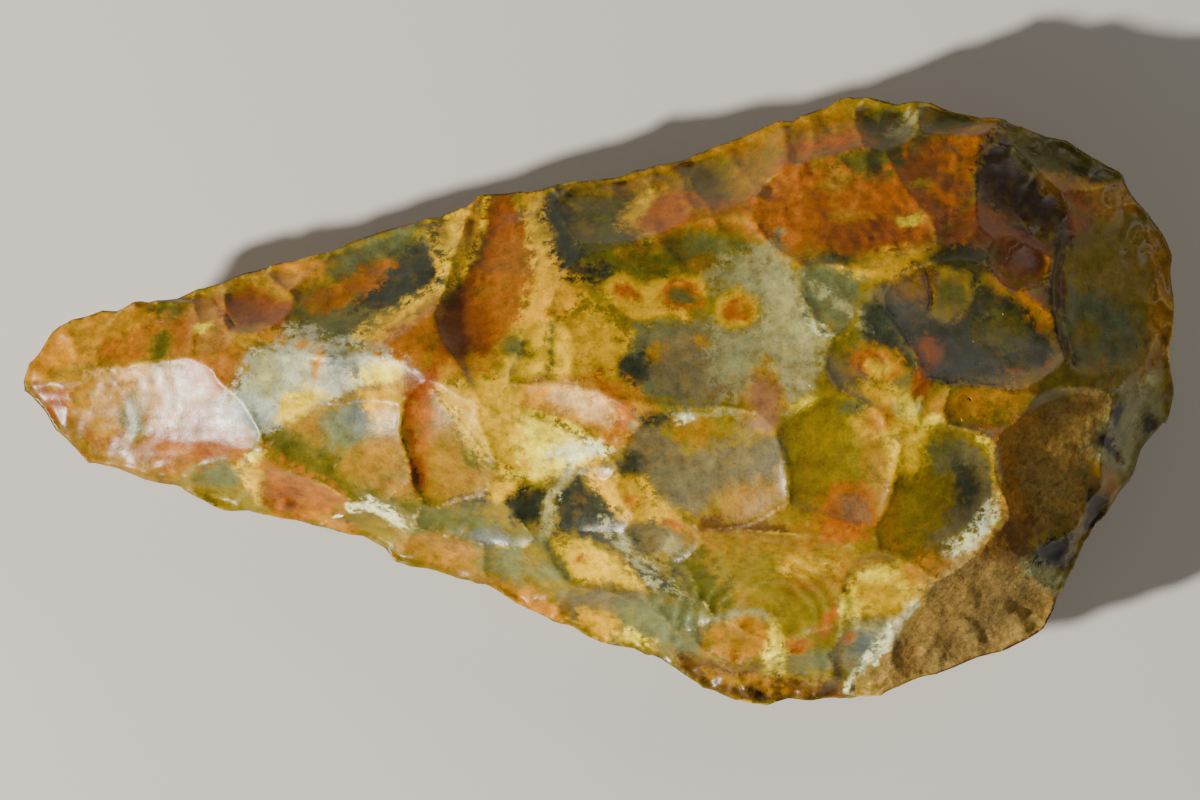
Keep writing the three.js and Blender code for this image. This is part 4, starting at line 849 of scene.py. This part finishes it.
    ('dark_brown', 0.7, [(73.9, 30.3), (74.4, 25.6), (72.8, 19.2), (73.3, 11.6), (75.8, 5.8), (73.5, 7),
        (71.7, 12.8), (70.8, 19.8), (72.2, 25.6)]),
    ('ochre', 0.6, [(87, 28.9), (90.8, 25), (91.9, 19.3), (91.6, 14.2), (90.9, 9), (87.9, 2.5),
        (85.7, 2.5), (87.7, 9), (89, 18), (87.7, 24.4)]),
    ('tan', 0.4, (89.5, 21.8, 0.5, 3.2, -10)),
    ('tan', 0.5, (89.2, 11.6, 0.6, 3.2, 15)),
    ('light_grey', 0.5, (87.9, 3, 1.9, 0.9, 30)),
    ('grey_green', 0.6, [(31.8, 19.2), (35.8, 22), (41, 18), (40.2, 12.8), (37, 10.2), (33.8, 12.1),
        (31.9, 15.3)]),
    # the light grey streak is painted glare on a hollow's rim; the white line is a scratch, partly painted
    # glint
    ('light_grey', 0.5, (36.7, 15.4, 3.1, 0.6, -35)),
    ('white', 0.2, [(32.6, 13.2), (34, 11.6), (36.8, 9.9), (34, 11.2)]),
    ('slate', 1.2, [(56.2, -9.5), (59.4, -10.5), (60.2, -14), (58.6, -17.5), (56.4, -15.5)]),
    ('yellow', 1.2, [(41, -29), (47, -28), (50, -31), (46, -34.5), (41, -33)]),
    ('pale_yellow', 1.4, [(46, -5), (51, -6), (50, -11), (46, -12)]),
    ('cream', 0.9, [(47.2, 0.8), (49.6, 0.2), (50, -3.4), (47.8, -2.6)]),
]

# %% Stains, painted highlights and painted shade of the point
POINT_STAINS_AND_PAINTED_LIGHT = [
    ('amber', 1.2, [(-91.9, 4.9), (-89.3, 10.5), (-82.9, 13.7), (-75.4, 15.1), (-64.2, 16.9),
        (-58.3, 12.4), (-57.8, 8.9), (-71.7, 5.7), (-83.4, 5.7), (-90.3, 2.5)]),
    ('tan', 0.8, [(-85, 10.8), (-77.5, 13.2), (-73.5, 13.7), (-77, 10.3), (-80.7, 6.5), (-83.9, 8.1)]),
    ('deep_amber', 1, [(-80.2, 7.6), (-77, 10.3), (-70.6, 12.4), (-64.7, 12.9), (-63.1, 8.1),
        (-71.7, 6), (-79.1, 5.7)]),
    ('olive', 0.8, (-68.7, 14.8, 2.9, 1.2, 8)),
    ('pink_tan', 0.7, [(-64.7, 14.5), (-61, 16.1), (-58.3, 11.3), (-58.3, 8.9), (-63.1, 7.1),
        (-65.3, 8.1), (-63.9, 11.9)]),
    ('cream', 0.3, (-63.1, 11.6, 1.1, 0.7, 30)),
    ('rust', 0.9, [(-61.5, 15.9), (-55.7, 17.7), (-50.9, 16.7), (-48.7, 15.1), (-50.3, 10.3),
        (-54.6, 10.3), (-58.3, 11.3), (-59.9, 14)]),
    ('tan', 0.8, [(-62.6, 17.7), (-55.7, 20.1), (-50.3, 22.8), (-45, 22.8), (-42.3, 22), (-45, 19.3),
        (-50.3, 16.7), (-55.7, 18.3)]),
    ('peach', 0.8, [(-50.3, 22), (-46.1, 22.8), (-43.9, 21.5), (-47.7, 18.8), (-50.9, 18.3)]),
    ('peach', 0.6, [(-58.3, 10.3), (-54.1, 11.9), (-49.3, 10.5), (-50.3, 8.7), (-55.7, 8.9)]),
    ('olive_grey', 0.9, [(-42.6, 22), (-35.4, 26.5), (-29.5, 28.7), (-26.1, 28.1), (-24.7, 23.1),
        (-24.2, 18.3), (-30.1, 15.1), (-36.5, 11.3), (-39.7, 8.1), (-45, 9.2), (-49, 11.3),
        (-47.7, 14.5), (-43.4, 15.1), (-41.8, 17.7), (-42.3, 20.9)]),
    ('grey_green', 1, [(-42.3, 22), (-35.4, 26.5), (-29.5, 28.4), (-32.7, 25.2), (-39.7, 20.4)]),
    ('slate', 1, [(-35.4, 20.4), (-29.5, 24.1), (-26.3, 25.7), (-24.2, 20.4), (-25, 17.5),
        (-30.1, 15.1), (-35.4, 14), (-39.7, 15.1)]),
    ('dark_slate', 0.8, [(-28.2, 22), (-25.3, 22.5), (-24.2, 19.3), (-27.4, 16.7), (-29.5, 16.7)]),
    ('deep_amber', 0.5, [(-47.1, 16.1), (-41.8, 18.3), (-36.5, 22), (-32.5, 22), (-36.5, 17.7),
        (-41.8, 14.5), (-46.1, 14.8)]),
    ('olive_yellow', 0.4, (-28.2, 26.7, 1, 2.1, -15)),
    ('slate', 0.5, (-28.2, 24.1, 1.2, 1.9, 0)),
    ('pale_yellow', 0.6, [(-26.3, 27.9), (-22.1, 30), (-19.1, 32.4), (-19.4, 27.3), (-22.1, 20.4),
        (-29, 14), (-34.3, 10.3), (-37, 8.1), (-37.8, 9.7), (-30.1, 15.1), (-24.2, 18.3),
        (-24.5, 23.1)]),
    ('tan', 0.6, [(-21.8, 29.5), (-19.1, 32.4), (-19.4, 26.3), (-21, 24.1), (-22.3, 26.8)]),
    ('yellow', 0.8, [(-37.5, 8.1), (-31.7, 12.4), (-26.3, 15.6), (-27.9, 11.3), (-34.3, 7.6),
        (-36.5, 7.1)]),
    ('deep_amber', 0.8, [(-36.5, 7.3), (-31.7, 11.3), (-25.8, 15.1), (-26.3, 8.1), (-29.5, 3.9),
        (-34.3, 6.5)]),
    ('ochre', 0.5, [(-90.1, 2.5), (-85.5, 4.9), (-81.3, 6), (-71.7, 5.7), (-63.1, 7.3), (-58.9, 9.2),
        (-56.2, 9.2), (-54.9, 6.5), (-57.8, 1.7), (-61, -0.4), (-71.7, 0.7), (-77, 1.7), (-83.4, 1.2)]),
    ('deep_amber', 1.2, [(-65.3, 6.5), (-59.9, 8.1), (-55.7, 7.6), (-57.8, 2.3), (-61, 0.1),
        (-66.3, 1.2), (-67.4, 4.4)]),
    # these pale pink streaks are painted glare on the point's central facet
    ('pink', 0.8, (-75.4, 4.3, 3.5, 0.5, 5)),
    ('pink', 0.8, (-75.4, 1.3, 4.5, 0.7, 6)),
    ('rust', 0.4, [(-90.9, 2.4), (-83.9, 1.8), (-83.4, -2.5), (-85, -4.9), (-87.9, -2.8)]),
    ('tan', 0.4, (-84.1, -2, 0.7, 2.8, 8)),
    ('rust', 1, [(-83.4, 0.7), (-77, 0.7), (-61, -0.4), (-58.1, -4.7), (-58.9, -10), (-64.2, -12.1),
        (-70.1, -12.9), (-79.7, -10.8), (-83.1, -6.8)]),
    ('tan', 1, [(-83.4, 1.2), (-75.9, 0.7), (-75.7, -4.7), (-80.2, -6.3), (-82.9, -3.1)]),
    ('tan', 1.6, (-67.9, -1.5, 5.3, 2.4, 0)),
    ('ochre', 1, [(-83.1, -6.3), (-79.7, -10.3), (-70.1, -12.9), (-64.2, -12.1), (-65.3, -10),
        (-72.7, -9.5), (-79.7, -7.9)]),
    ('deep_amber', 1.2, [(-72.2, -6.3), (-64.2, -7.9), (-62.6, -11.6), (-69, -11.9)]),
    ('rust', 1.5, (-62.6, -4.7, 3.2, 3.2, 0)),
    ('ochre', 0.6, (-74.6, -3.3, 2.5, 4.2, 8)),
    ('olive_grey', 0.4, (-74.6, -3, 1.5, 3.3, 10)),
    ('ochre', 0.6, (-70.3, 8.1, 2.4, 2.7, 0)),
    ('olive', 0.4, (-70.3, 8.2, 1.4, 2.2, -20)),
    # the pale blue lozenge and the cream spots in it are painted glare on the flat middle facets
    ('pale_blue', 0.5, [(-55.1, 6.5), (-51.4, 7.6), (-49, 10.8), (-46.1, 10.5), (-39.7, 8.1),
        (-31.7, 6), (-30.9, 3.9), (-35.9, 2.3), (-45, -1.5), (-50.3, -4.7), (-54.6, -5.7),
        (-58.9, -4.1), (-58.9, -0.4), (-56.7, 3.3)]),
    ('cream', 0.8, [(-50.3, 1.2), (-46.1, 2.3), (-43.4, 0.7), (-49.3, -4.1), (-51.4, -2.5)]),
    ('pale_yellow', 0.8, [(-50.3, 0.7), (-46.6, 0.7), (-47.7, -2.5), (-50.3, -3.1)]),
    ('cream', 0.6, [(-38.1, 6), (-31.7, 5.7), (-30.9, 3.9), (-37, 2), (-39.7, 3.9)]),
    ('peach', 0.5, (-44.7, 6, 1.1, 2.2, -8)),
    ('peach', 0.5, (-47.4, 8.9, 0.9, 0.7, 0)),
    ('blue_grey', 1, (-40.2, 6, 2.6, 1.6, -20)),
    ('light_grey', 1, (-53.5, 3.9, 2.4, 3.2, 0)),
    ('blue_grey', 1.2, (-56.2, -3.3, 2.7, 1.6, -15)),
    ('deep_amber', 0.4, [(-58.3, -4.7), (-54.3, -6), (-56.2, -8.7), (-58.9, -10.3)]),
    ('olive', 0.6, [(-54.6, -6.3), (-48.7, -3.9), (-46.6, -6.3), (-41.8, -9.5), (-41.8, -12.7),
        (-39.1, -15.3), (-43.9, -13.5), (-49.3, -11.9), (-51.7, -8.4)]),
    ('cream', 0.3, [(-56.2, -8.9), (-53.1, -7.8), (-54.5, -11.2)]),
    ('ochre', 0.7, [(-49.3, -3.9), (-45, -1.2), (-39.7, 0.9), (-35.9, 2.3), (-37, 0.1), (-42.9, -5.2),
        (-45, -6.5)]),
    ('grey_green', 0.9, [(-43.4, -1.7), (-38.1, 0.7), (-35.1, -4.1), (-38.1, -6.3), (-41.3, -8.4),
        (-43.4, -5.2)]),
    ('blue_grey', 0.7, (-38.6, -2.5, 1.6, 2.4, 20)),
    ('yellow', 0.7, [(-37.5, 1.2), (-30.9, 3.3), (-30.7, -2.5), (-34.9, -4.4), (-37, -1.5)]),
    ('ochre', 0.8, [(-41, -11.1), (-37.5, -7.3), (-30.9, -3.9), (-29.8, -10), (-27.9, -15.1),
        (-31.7, -15.6), (-37, -13.5)]),
    ('olive', 0.4, (-33, -12.1, 1, 0.5, 0)),
    ('ochre', 0.6, [(-30.1, -0.4), (-25.8, -1.2), (-21.5, -6.3), (-17, -10.5), (-18.3, -13.2),
        (-26.3, -15.9), (-28.5, -13.7), (-29.5, -7.3)]),
    ('orange', 0.9, [(-30.1, -0.4), (-26.3, -1.2), (-27.4, -6.3), (-28.2, -13.2), (-29.5, -7.3)]),
    # partly rust, partly painted shade along the wall that faces away from the lamp
    ('red_rust', 0.5, [(-30.9, 3.1), (-29.6, -0.4), (-29.5, -7.3), (-27.8, -14.5), (-29.8, -13.2),
        (-30.8, -6.8)]),
    ('olive', 0.5, [(-22.3, -7.3), (-18.3, -8.3), (-17, -11.3), (-21, -9.7)]),
    ('red_rust', 1, [(-31.1, 3.9), (-26.3, 5.2), (-24.5, 1.2), (-28.5, -1.2), (-30.6, 0.7)]),
    ('yellow', 0.8, [(-25.3, 1.7), (-13, 3.9), (-13, -10), (-16.7, -10), (-21.5, -5.2)]),
    ('olive_yellow', 0.6, [(-67.7, -12.7), (-59.9, -10), (-55.4, -12.1), (-53.3, -14.8), (-56.2, -17.2),
        (-61, -17.2)]),
    ('grey_green', 0.8, (-59.9, -12.1, 2.8, 1.5, 0)),
    ('yellow', 0.5, [(-57.8, -10.3), (-53.5, -10.8), (-52.9, -15.6), (-54.6, -16.1)]),
    ('deep_amber', 0.5, [(-53.5, -8.4), (-49.3, -11.3), (-45, -13.2), (-39.7, -14.3), (-39.7, -16.4),
        (-43.4, -18.8), (-51.9, -18.3), (-53.5, -15.3)]),
    ('rust', 0.9, (-50.3, -15.3, 2.2, 2, 0)),
    ('amber', 0.6, [(-45.5, -18), (-37.5, -20.7), (-38.1, -22), (-43.4, -20.4)]),
    ('olive', 0.8, [(-41.8, -12.7), (-31.7, -15.9), (-27.1, -16.7), (-29, -19.6), (-32.7, -17.5),
        (-39.1, -16.4)]),
    ('olive_yellow', 0.5, [(-39.7, -17.2), (-35.4, -17.7), (-30.9, -21.5), (-32.5, -25.5),
        (-36.5, -22.5)]),
    # these white crescents are painted glare on the rim of the small hollow
    ('white', 0.2, [(-40.5, -16.9), (-36.5, -16.2), (-32.7, -17.7), (-30, -21.3), (-31.7, -20.2),
        (-35.4, -17.7)]),
    ('white', 0.2, [(-29.5, -18.4), (-28.4, -17.9), (-30.2, -21.3)]),
    ('olive_grey', 0.7, [(-29, -18.3), (-22.1, -16.9), (-16.2, -19.9), (-13, -22.8), (-19.9, -24.1),
        (-24.7, -21.5), (-30.1, -22.5)]),
    ('ochre', 0.7, [(-32.2, -23.3), (-24.7, -21.1), (-18.9, -23.9), (-21, -25.7), (-29, -25.2)]),
    ('pink_tan', 0.5, (-22.3, -24, 2.2, 1.1, -8)),
    ('blue_grey', 0.6, [(-21.3, -21.3), (-16.2, -20.6), (-13.3, -22.8), (-18.3, -23.4)]),
    ('ochre', 0.6, [(-32.7, -25.2), (-25.8, -26.5), (-18.3, -29.5), (-13, -31.6), (-13, -29.5),
        (-21, -26)]),
    ('grey_green', 0.8, [(-18.9, -24.9), (-13, -23.3), (-13, -29.2), (-18.3, -27.3)]),
]

# %% [markdown]
# ## Painting the points
# Each point of the mesh gets its colour, as vertex paint would give it, because the stains, and the
# highlights and shade painted among them, then stay with the stone without an image. The place is first
# shifted a little by noise, so that the borders wander as a stain in stone does. Two layers are painted,
# whose stains differ a little in size.


# %% Paint the stains, painted highlights and painted shade
def paint(x, y, stains_and_light, ground, grow, seed):
    """Linear colours at each place: the ground, with the stains and the painted highlights and shade laid
    over it one by one.
    """
    colour = np.tile(palette[ground], (len(x), 1))
    wx = x + 0.7 * noise(x, y, 6.0, seed) + 0.45 * noise(x, y, 1.7, seed + 5)
    wy = y + 0.7 * noise(x, y, 6.0, seed + 10) + 0.45 * noise(x, y, 1.7, seed + 15)
    ragged = 0.9 * noise(x, y, 0.9, seed + 20)
    for name, softness, shape in stains_and_light:
        if isinstance(shape, list):
            low, high = np.array(shape).min(0), np.array(shape).max(0)
        else:
            middle, reach_out = np.array(shape[:2]), max(shape[2:4])
            low, high = middle - reach_out, middle + reach_out
        spread, margin = min(1.0, 0.07 * min(high - low)) * grow, 3 + softness
        low, high = low - margin, high + margin
        near = np.nonzero((wx > low[0]) & (wx < high[0]) & (wy > low[1]) & (wy < high[1]))[0]
        if len(near):
            away = distance(wx[near], wy[near], shape) + softness * ragged[near] - spread
            cover = ease(1.1 * softness, -1.1 * softness, away)
            colour[near] += (palette[name] - colour[near]) * cover[:, None]
    return colour


DEPTH = 1.12               # the gloss deepens every colour
IRON = (1.0, 1.04, 0.86)   # iron in the gravel has turned every colour a little golden


def weather(colour, x, y, seed):
    """Flecks of olive in the bright stains and of amber in the dark ones, and a slow drift in warmth."""
    dark = ease(0.16, 0.09, colour @ (0.3, 0.6, 0.1))[:, None]
    fleck = palette["olive"] * (1 - dark) + palette["ochre"] * dark
    share = (0.42 - 0.24 * dark[:, 0]) * ease(0.1, 0.6, noise(x, y, 1.9, seed))
    colour += (fleck - colour) * share[:, None]
    vein = 0.4 * ease(0.07, 0.0, abs(noise(x, y, 9.0, seed + 3))) * (1 - dark[:, 0])
    colour += (palette["rust"] - colour) * vein[:, None]
    warmth = noise(x, y, 7.0, seed + 1)[:, None]
    drift = (1 + warmth * (0.12, 0.02, -0.22)) * (1 + 0.22 * noise(x, y, 3.2, seed + 2))[:, None]
    grey = colour.mean(1)[:, None]
    return np.maximum(0.003, grey + (colour - grey) * DEPTH) * drift * IRON


def paint_ridge_highlights(colour, border, owner, x, y):
    """Paints a pale highlight here and there on the ridges between two scars: painted highlight, where the
    arrises catch the lamp.
    """
    ridge_highlight = 0.5 * ease(0.10, 0.0, border) * (owner >= 0) * ease(0.0, 0.6, noise(x, y, 7.0, 240))
    return colour + (palette["cream"] * 0.8 - colour) * ridge_highlight[:, None]


GROW = (-0.4, 1.5)      # the first layer's stains are a little smaller than drawn, the second's larger
BACK_GROUNDS = ["amber", "olive", "ochre", "rust", "olive_grey", "pale_yellow", "slate", "deep_amber"]


def paint_back(x, y):
    """The unseen back has the same colours in plainer clouds."""
    colour = np.tile(palette["ochre"], (len(x), 1))
    for n, name in enumerate(BACK_GROUNDS):
        cloud = noise(x, y, 17 - n, 71 + n) + 0.25 * noise(x, y, 2.2, 81 + n)
        colour += (palette[name] - colour) * ease(0.30, 0.42, cloud)[:, None]
    return colour


STAINS_AND_PAINTED_LIGHT = MIDDLE_STAINS_AND_PAINTED_LIGHT + BUTT_STAINS_AND_PAINTED_LIGHT + POINT_STAINS_AND_PAINTED_LIGHT
layers = []
for layer, grow in enumerate(GROW):
    colour = np.ones((len(x), 4))
    painted = paint(x[front], y[front], STAINS_AND_PAINTED_LIGHT, "olive_yellow", grow, 60 + layer)
    # the ridges between scars get a painted highlight here
    colour[front, :3] = paint_ridge_highlights(weather(painted, x[front], y[front], 200 + 7 * layer), border, owner,
                            x[front], y[front])
    colour[back, :3] = weather(paint_back(x[back], y[back]), x[back], y[back], 200 + 7 * layer)
    layers.append(np.clip(colour, 0.002, 0.95))
rind_all, crack_all = np.zeros(len(x)), np.zeros(len(x))
rind_all[front], crack_all[front] = rind, cracked
# both colour layers hold the stains together with the painted highlights and painted shade
for name, colour in zip(("stain_and_light", "stain_and_light_beside"), layers):
    made = stone_mesh.color_attributes.new(name, "FLOAT_COLOR", "POINT")
    made.data.foreach_set("color", colour.astype(np.float32).ravel())
for name, values in (("rind", rind_all), ("cracked", crack_all)):
    stone_mesh.attributes.new(name, "FLOAT", "POINT").data.foreach_set("value", values.astype(np.float32))
print("painted", len(x), "points with", len(STAINS_AND_PAINTED_LIGHT), "stains_and_light")

# %% [markdown]
# ## The skin of the stone
# Flint is quartz in grains too fine to see. A struck face has a dull sheen, and thousands of years in
# gravel rubbed this one to a gloss, so its highlights are soft but clear. The two painted layers set the
# colour, and where they differ, along the borders, one shows through the other as flecks. Mottling and
# dark specks that are smaller than a facet come from noise, which has real sizes: specks about 0.45 mm,
# grain of the rind about 0.8 mm. The rind is weathered chalk, dull and sandy.


# %% Material
def add(tree, kind, settings=None, **links):
    """Adds a node with its settings, and links each named input from an output or sets its value."""
    made = tree.nodes.new(kind)
    for name, value in (settings or {}).items():
        setattr(made, name, value)
    for name, source in links.items():
        by_number = name[0] == "i" and name[1:].isdigit()       # i0 is the first input, and so on
        socket = made.inputs[int(name[1:]) if by_number else name.replace("_", " ")]
        if isinstance(source, bpy.types.NodeSocket):
            tree.links.new(source, socket)
        else:
            socket.default_value = source
    return made


flint = bpy.data.materials.new("stained flint, knapped and glossed by gravel")
flint.use_nodes = True
tree = flint.node_tree
tree.nodes.clear()
where = add(tree, "ShaderNodeTexCoord").outputs["Object"]
# the painted colour holds painted highlights and painted shade as well as the stains
stain_and_light = add(tree, "ShaderNodeAttribute", {"attribute_name": "stain_and_light"}).outputs["Color"]
beside = add(tree, "ShaderNodeAttribute", {"attribute_name": "stain_and_light_beside"}).outputs["Color"]
rind_share = add(tree, "ShaderNodeAttribute", {"attribute_name": "rind"}).outputs["Fac"]
crack_share = add(tree, "ShaderNodeAttribute", {"attribute_name": "cracked"}).outputs["Fac"]

FLECK, SPECK, MOTTLE, GRAIN = 1.5 * MM, 0.45 * MM, 2.2 * MM, 0.8 * MM
FLINT_IOR, GLOSSIEST, LEAST_GLOSSY, SHEEN = 1.54, 0.28, 0.44, 0.34     # quartz, rubbed by gravel
RIND_ROUGHNESS, CRACKED_DULLER, BUMP_DEPTH = 0.85, 0.15, 0.35 * MM
mottle = add(tree, "ShaderNodeTexNoise", Vector=where, Scale=1 / MOTTLE, Detail=5.0, Roughness=0.65)
speck = add(tree, "ShaderNodeTexNoise", Vector=where, Scale=1 / SPECK, Detail=3.0, Roughness=0.6)
grain = add(tree, "ShaderNodeTexNoise", Vector=where, Scale=1 / GRAIN, Detail=4.0, Roughness=0.7)

# Flecks of one layer show through the other.
fleck = add(tree, "ShaderNodeTexNoise", Vector=where, Scale=1 / FLECK, Detail=6.0, Roughness=0.75)
through = add(tree, "ShaderNodeMapRange", Value=fleck.outputs["Fac"], From_Min=0.45, From_Max=0.55)
both = add(tree, "ShaderNodeMix", {"data_type": "RGBA"}, i0=through.outputs[0], i6=stain_and_light, i7=beside)
light_dark = add(tree, "ShaderNodeMapRange", Value=mottle.outputs["Fac"],
                 From_Min=0.3, From_Max=0.7, To_Min=0.66, To_Max=1.28)
speck_dark = add(tree, "ShaderNodeMapRange", Value=speck.outputs["Fac"],
                 From_Min=0.56, From_Max=0.72, To_Min=1.0, To_Max=0.62)
grain_dark = add(tree, "ShaderNodeMapRange", Value=grain.outputs["Fac"],
                 From_Min=0.35, From_Max=0.65, To_Min=0.62, To_Max=1.25)
skin_value = add(tree, "ShaderNodeMath", {"operation": "MULTIPLY"},
                 i0=light_dark.outputs[0], i1=speck_dark.outputs[0])
value = add(tree, "ShaderNodeMix", {"data_type": "FLOAT"},
            Factor=rind_share, i2=skin_value.outputs[0], i3=grain_dark.outputs[0])
skin = add(tree, "ShaderNodeVectorMath", {"operation": "SCALE"},
           i0=both.outputs[2], Scale=value.outputs[0])

gloss = add(tree, "ShaderNodeMapRange", Value=mottle.outputs["Fac"],
            From_Min=0.3, From_Max=0.7, To_Min=GLOSSIEST, To_Max=LEAST_GLOSSY)
dull = add(tree, "ShaderNodeMath", {"operation": "MULTIPLY_ADD"},
           i0=crack_share, i1=CRACKED_DULLER, i2=gloss.outputs[0])
roughness = add(tree, "ShaderNodeMix", {"data_type": "FLOAT"},
                Factor=rind_share, i2=dull.outputs[0], i3=RIND_ROUGHNESS)
skin_bump = add(tree, "ShaderNodeMath", {"operation": "MULTIPLY"}, i0=speck.outputs["Fac"], i1=0.12)
bump_height = add(tree, "ShaderNodeMix", {"data_type": "FLOAT"},
                  Factor=rind_share, i2=skin_bump.outputs[0], i3=grain.outputs["Fac"])
bump = add(tree, "ShaderNodeBump", Height=bump_height.outputs[0], Distance=BUMP_DEPTH, Strength=0.6)
surface = add(tree, "ShaderNodeBsdfPrincipled", Base_Color=skin.outputs[0],
              Roughness=roughness.outputs[0], Normal=bump.outputs[0],
              IOR=FLINT_IOR, Metallic=0.0, Specular_IOR_Level=SHEEN)
add(tree, "ShaderNodeOutputMaterial", Surface=surface.outputs[0])
stone_mesh.materials.append(flint)
print("material", flint.name, "with", len(tree.nodes), "nodes")

# %% [markdown]
# ## The floor
# A studio table is often covered with pale card, which shows the outline without colouring the stone. A
# plain square does, as nothing of it but an even tone and a shadow is seen.

# %% Floor
bm = bmesh.new()
bmesh.ops.create_grid(bm, x_segments=1, y_segments=1, size=1.5)
floor_mesh = bpy.data.meshes.new("floor")
bm.to_mesh(floor_mesh)
bm.free()
floor = bpy.data.objects.new("floor", floor_mesh)
bpy.context.scene.collection.objects.link(floor)
card = bpy.data.materials.new("pale matt card")     # uncoated paper board, without a highlight
card.use_nodes = True
card_surface = card.node_tree.nodes["Principled BSDF"]
card_surface.inputs["Base Color"].default_value = (*linear("#CDCBC6"), 1)
card_surface.inputs["Roughness"].default_value = 0.9
floor_mesh.materials.append(card)

# %% [markdown]
# ## The lamps
# Flaked stone is photographed with one lamp low at the side, because raking light brings out the scars.
# A sun lamp would do that too, but a small round area lamp gives the shadows a softer border. A weak
# warm fill from the far side keeps the dark sides readable.


# %% Lights
def lamp(name, azimuth, elevation, away, size, watts, tint):
    light = bpy.data.lights.new(name, "AREA")
    light.shape, light.size, light.energy, light.color = "DISK", size, watts, tint
    made = bpy.data.objects.new(name, light)
    a, e = math.radians(azimuth), math.radians(elevation)
    made.location = (away * math.cos(a) * math.cos(e), away * math.sin(a) * math.cos(e), away * math.sin(e))
    made.rotation_euler = (math.pi / 2 - e, 0, a + math.pi / 2)
    bpy.context.scene.collection.objects.link(made)


lamp("key lamp", 202, 32, 1.2, 0.08, 34, (1.0, 0.95, 0.86))
lamp("fill", 40, 40, 1.4, 0.8, 4, (1.0, 0.94, 0.84))
world = bpy.data.worlds.new("studio")
world.use_nodes = True
world.node_tree.nodes["Background"].inputs["Color"].default_value = (1.0, 0.96, 0.9, 1)
world.node_tree.nodes["Background"].inputs["Strength"].default_value = 0.13
bpy.context.scene.world = world

# %% [markdown]
# ## The camera
# The photo looks straight down on the axe from far off. An orthographic camera would do nearly the same,
# but a long lens keeps the slight perspective. Its frame is 192 mm wide at the height of the edge.

# %% Camera
FRAME_WIDTH, CAMERA_HEIGHT = 192 * MM, 1.5
lens = bpy.data.cameras.new("camera")
lens.sensor_width = 36
lens.lens = 36 * CAMERA_HEIGHT / FRAME_WIDTH
camera = bpy.data.objects.new("camera", lens)
camera.location = (0, 0, CAMERA_HEIGHT + EDGE_HEIGHT * MM)
bpy.context.scene.collection.objects.link(camera)
bpy.context.scene.camera = camera
print("lens", round(lens.lens, 1), "mm")
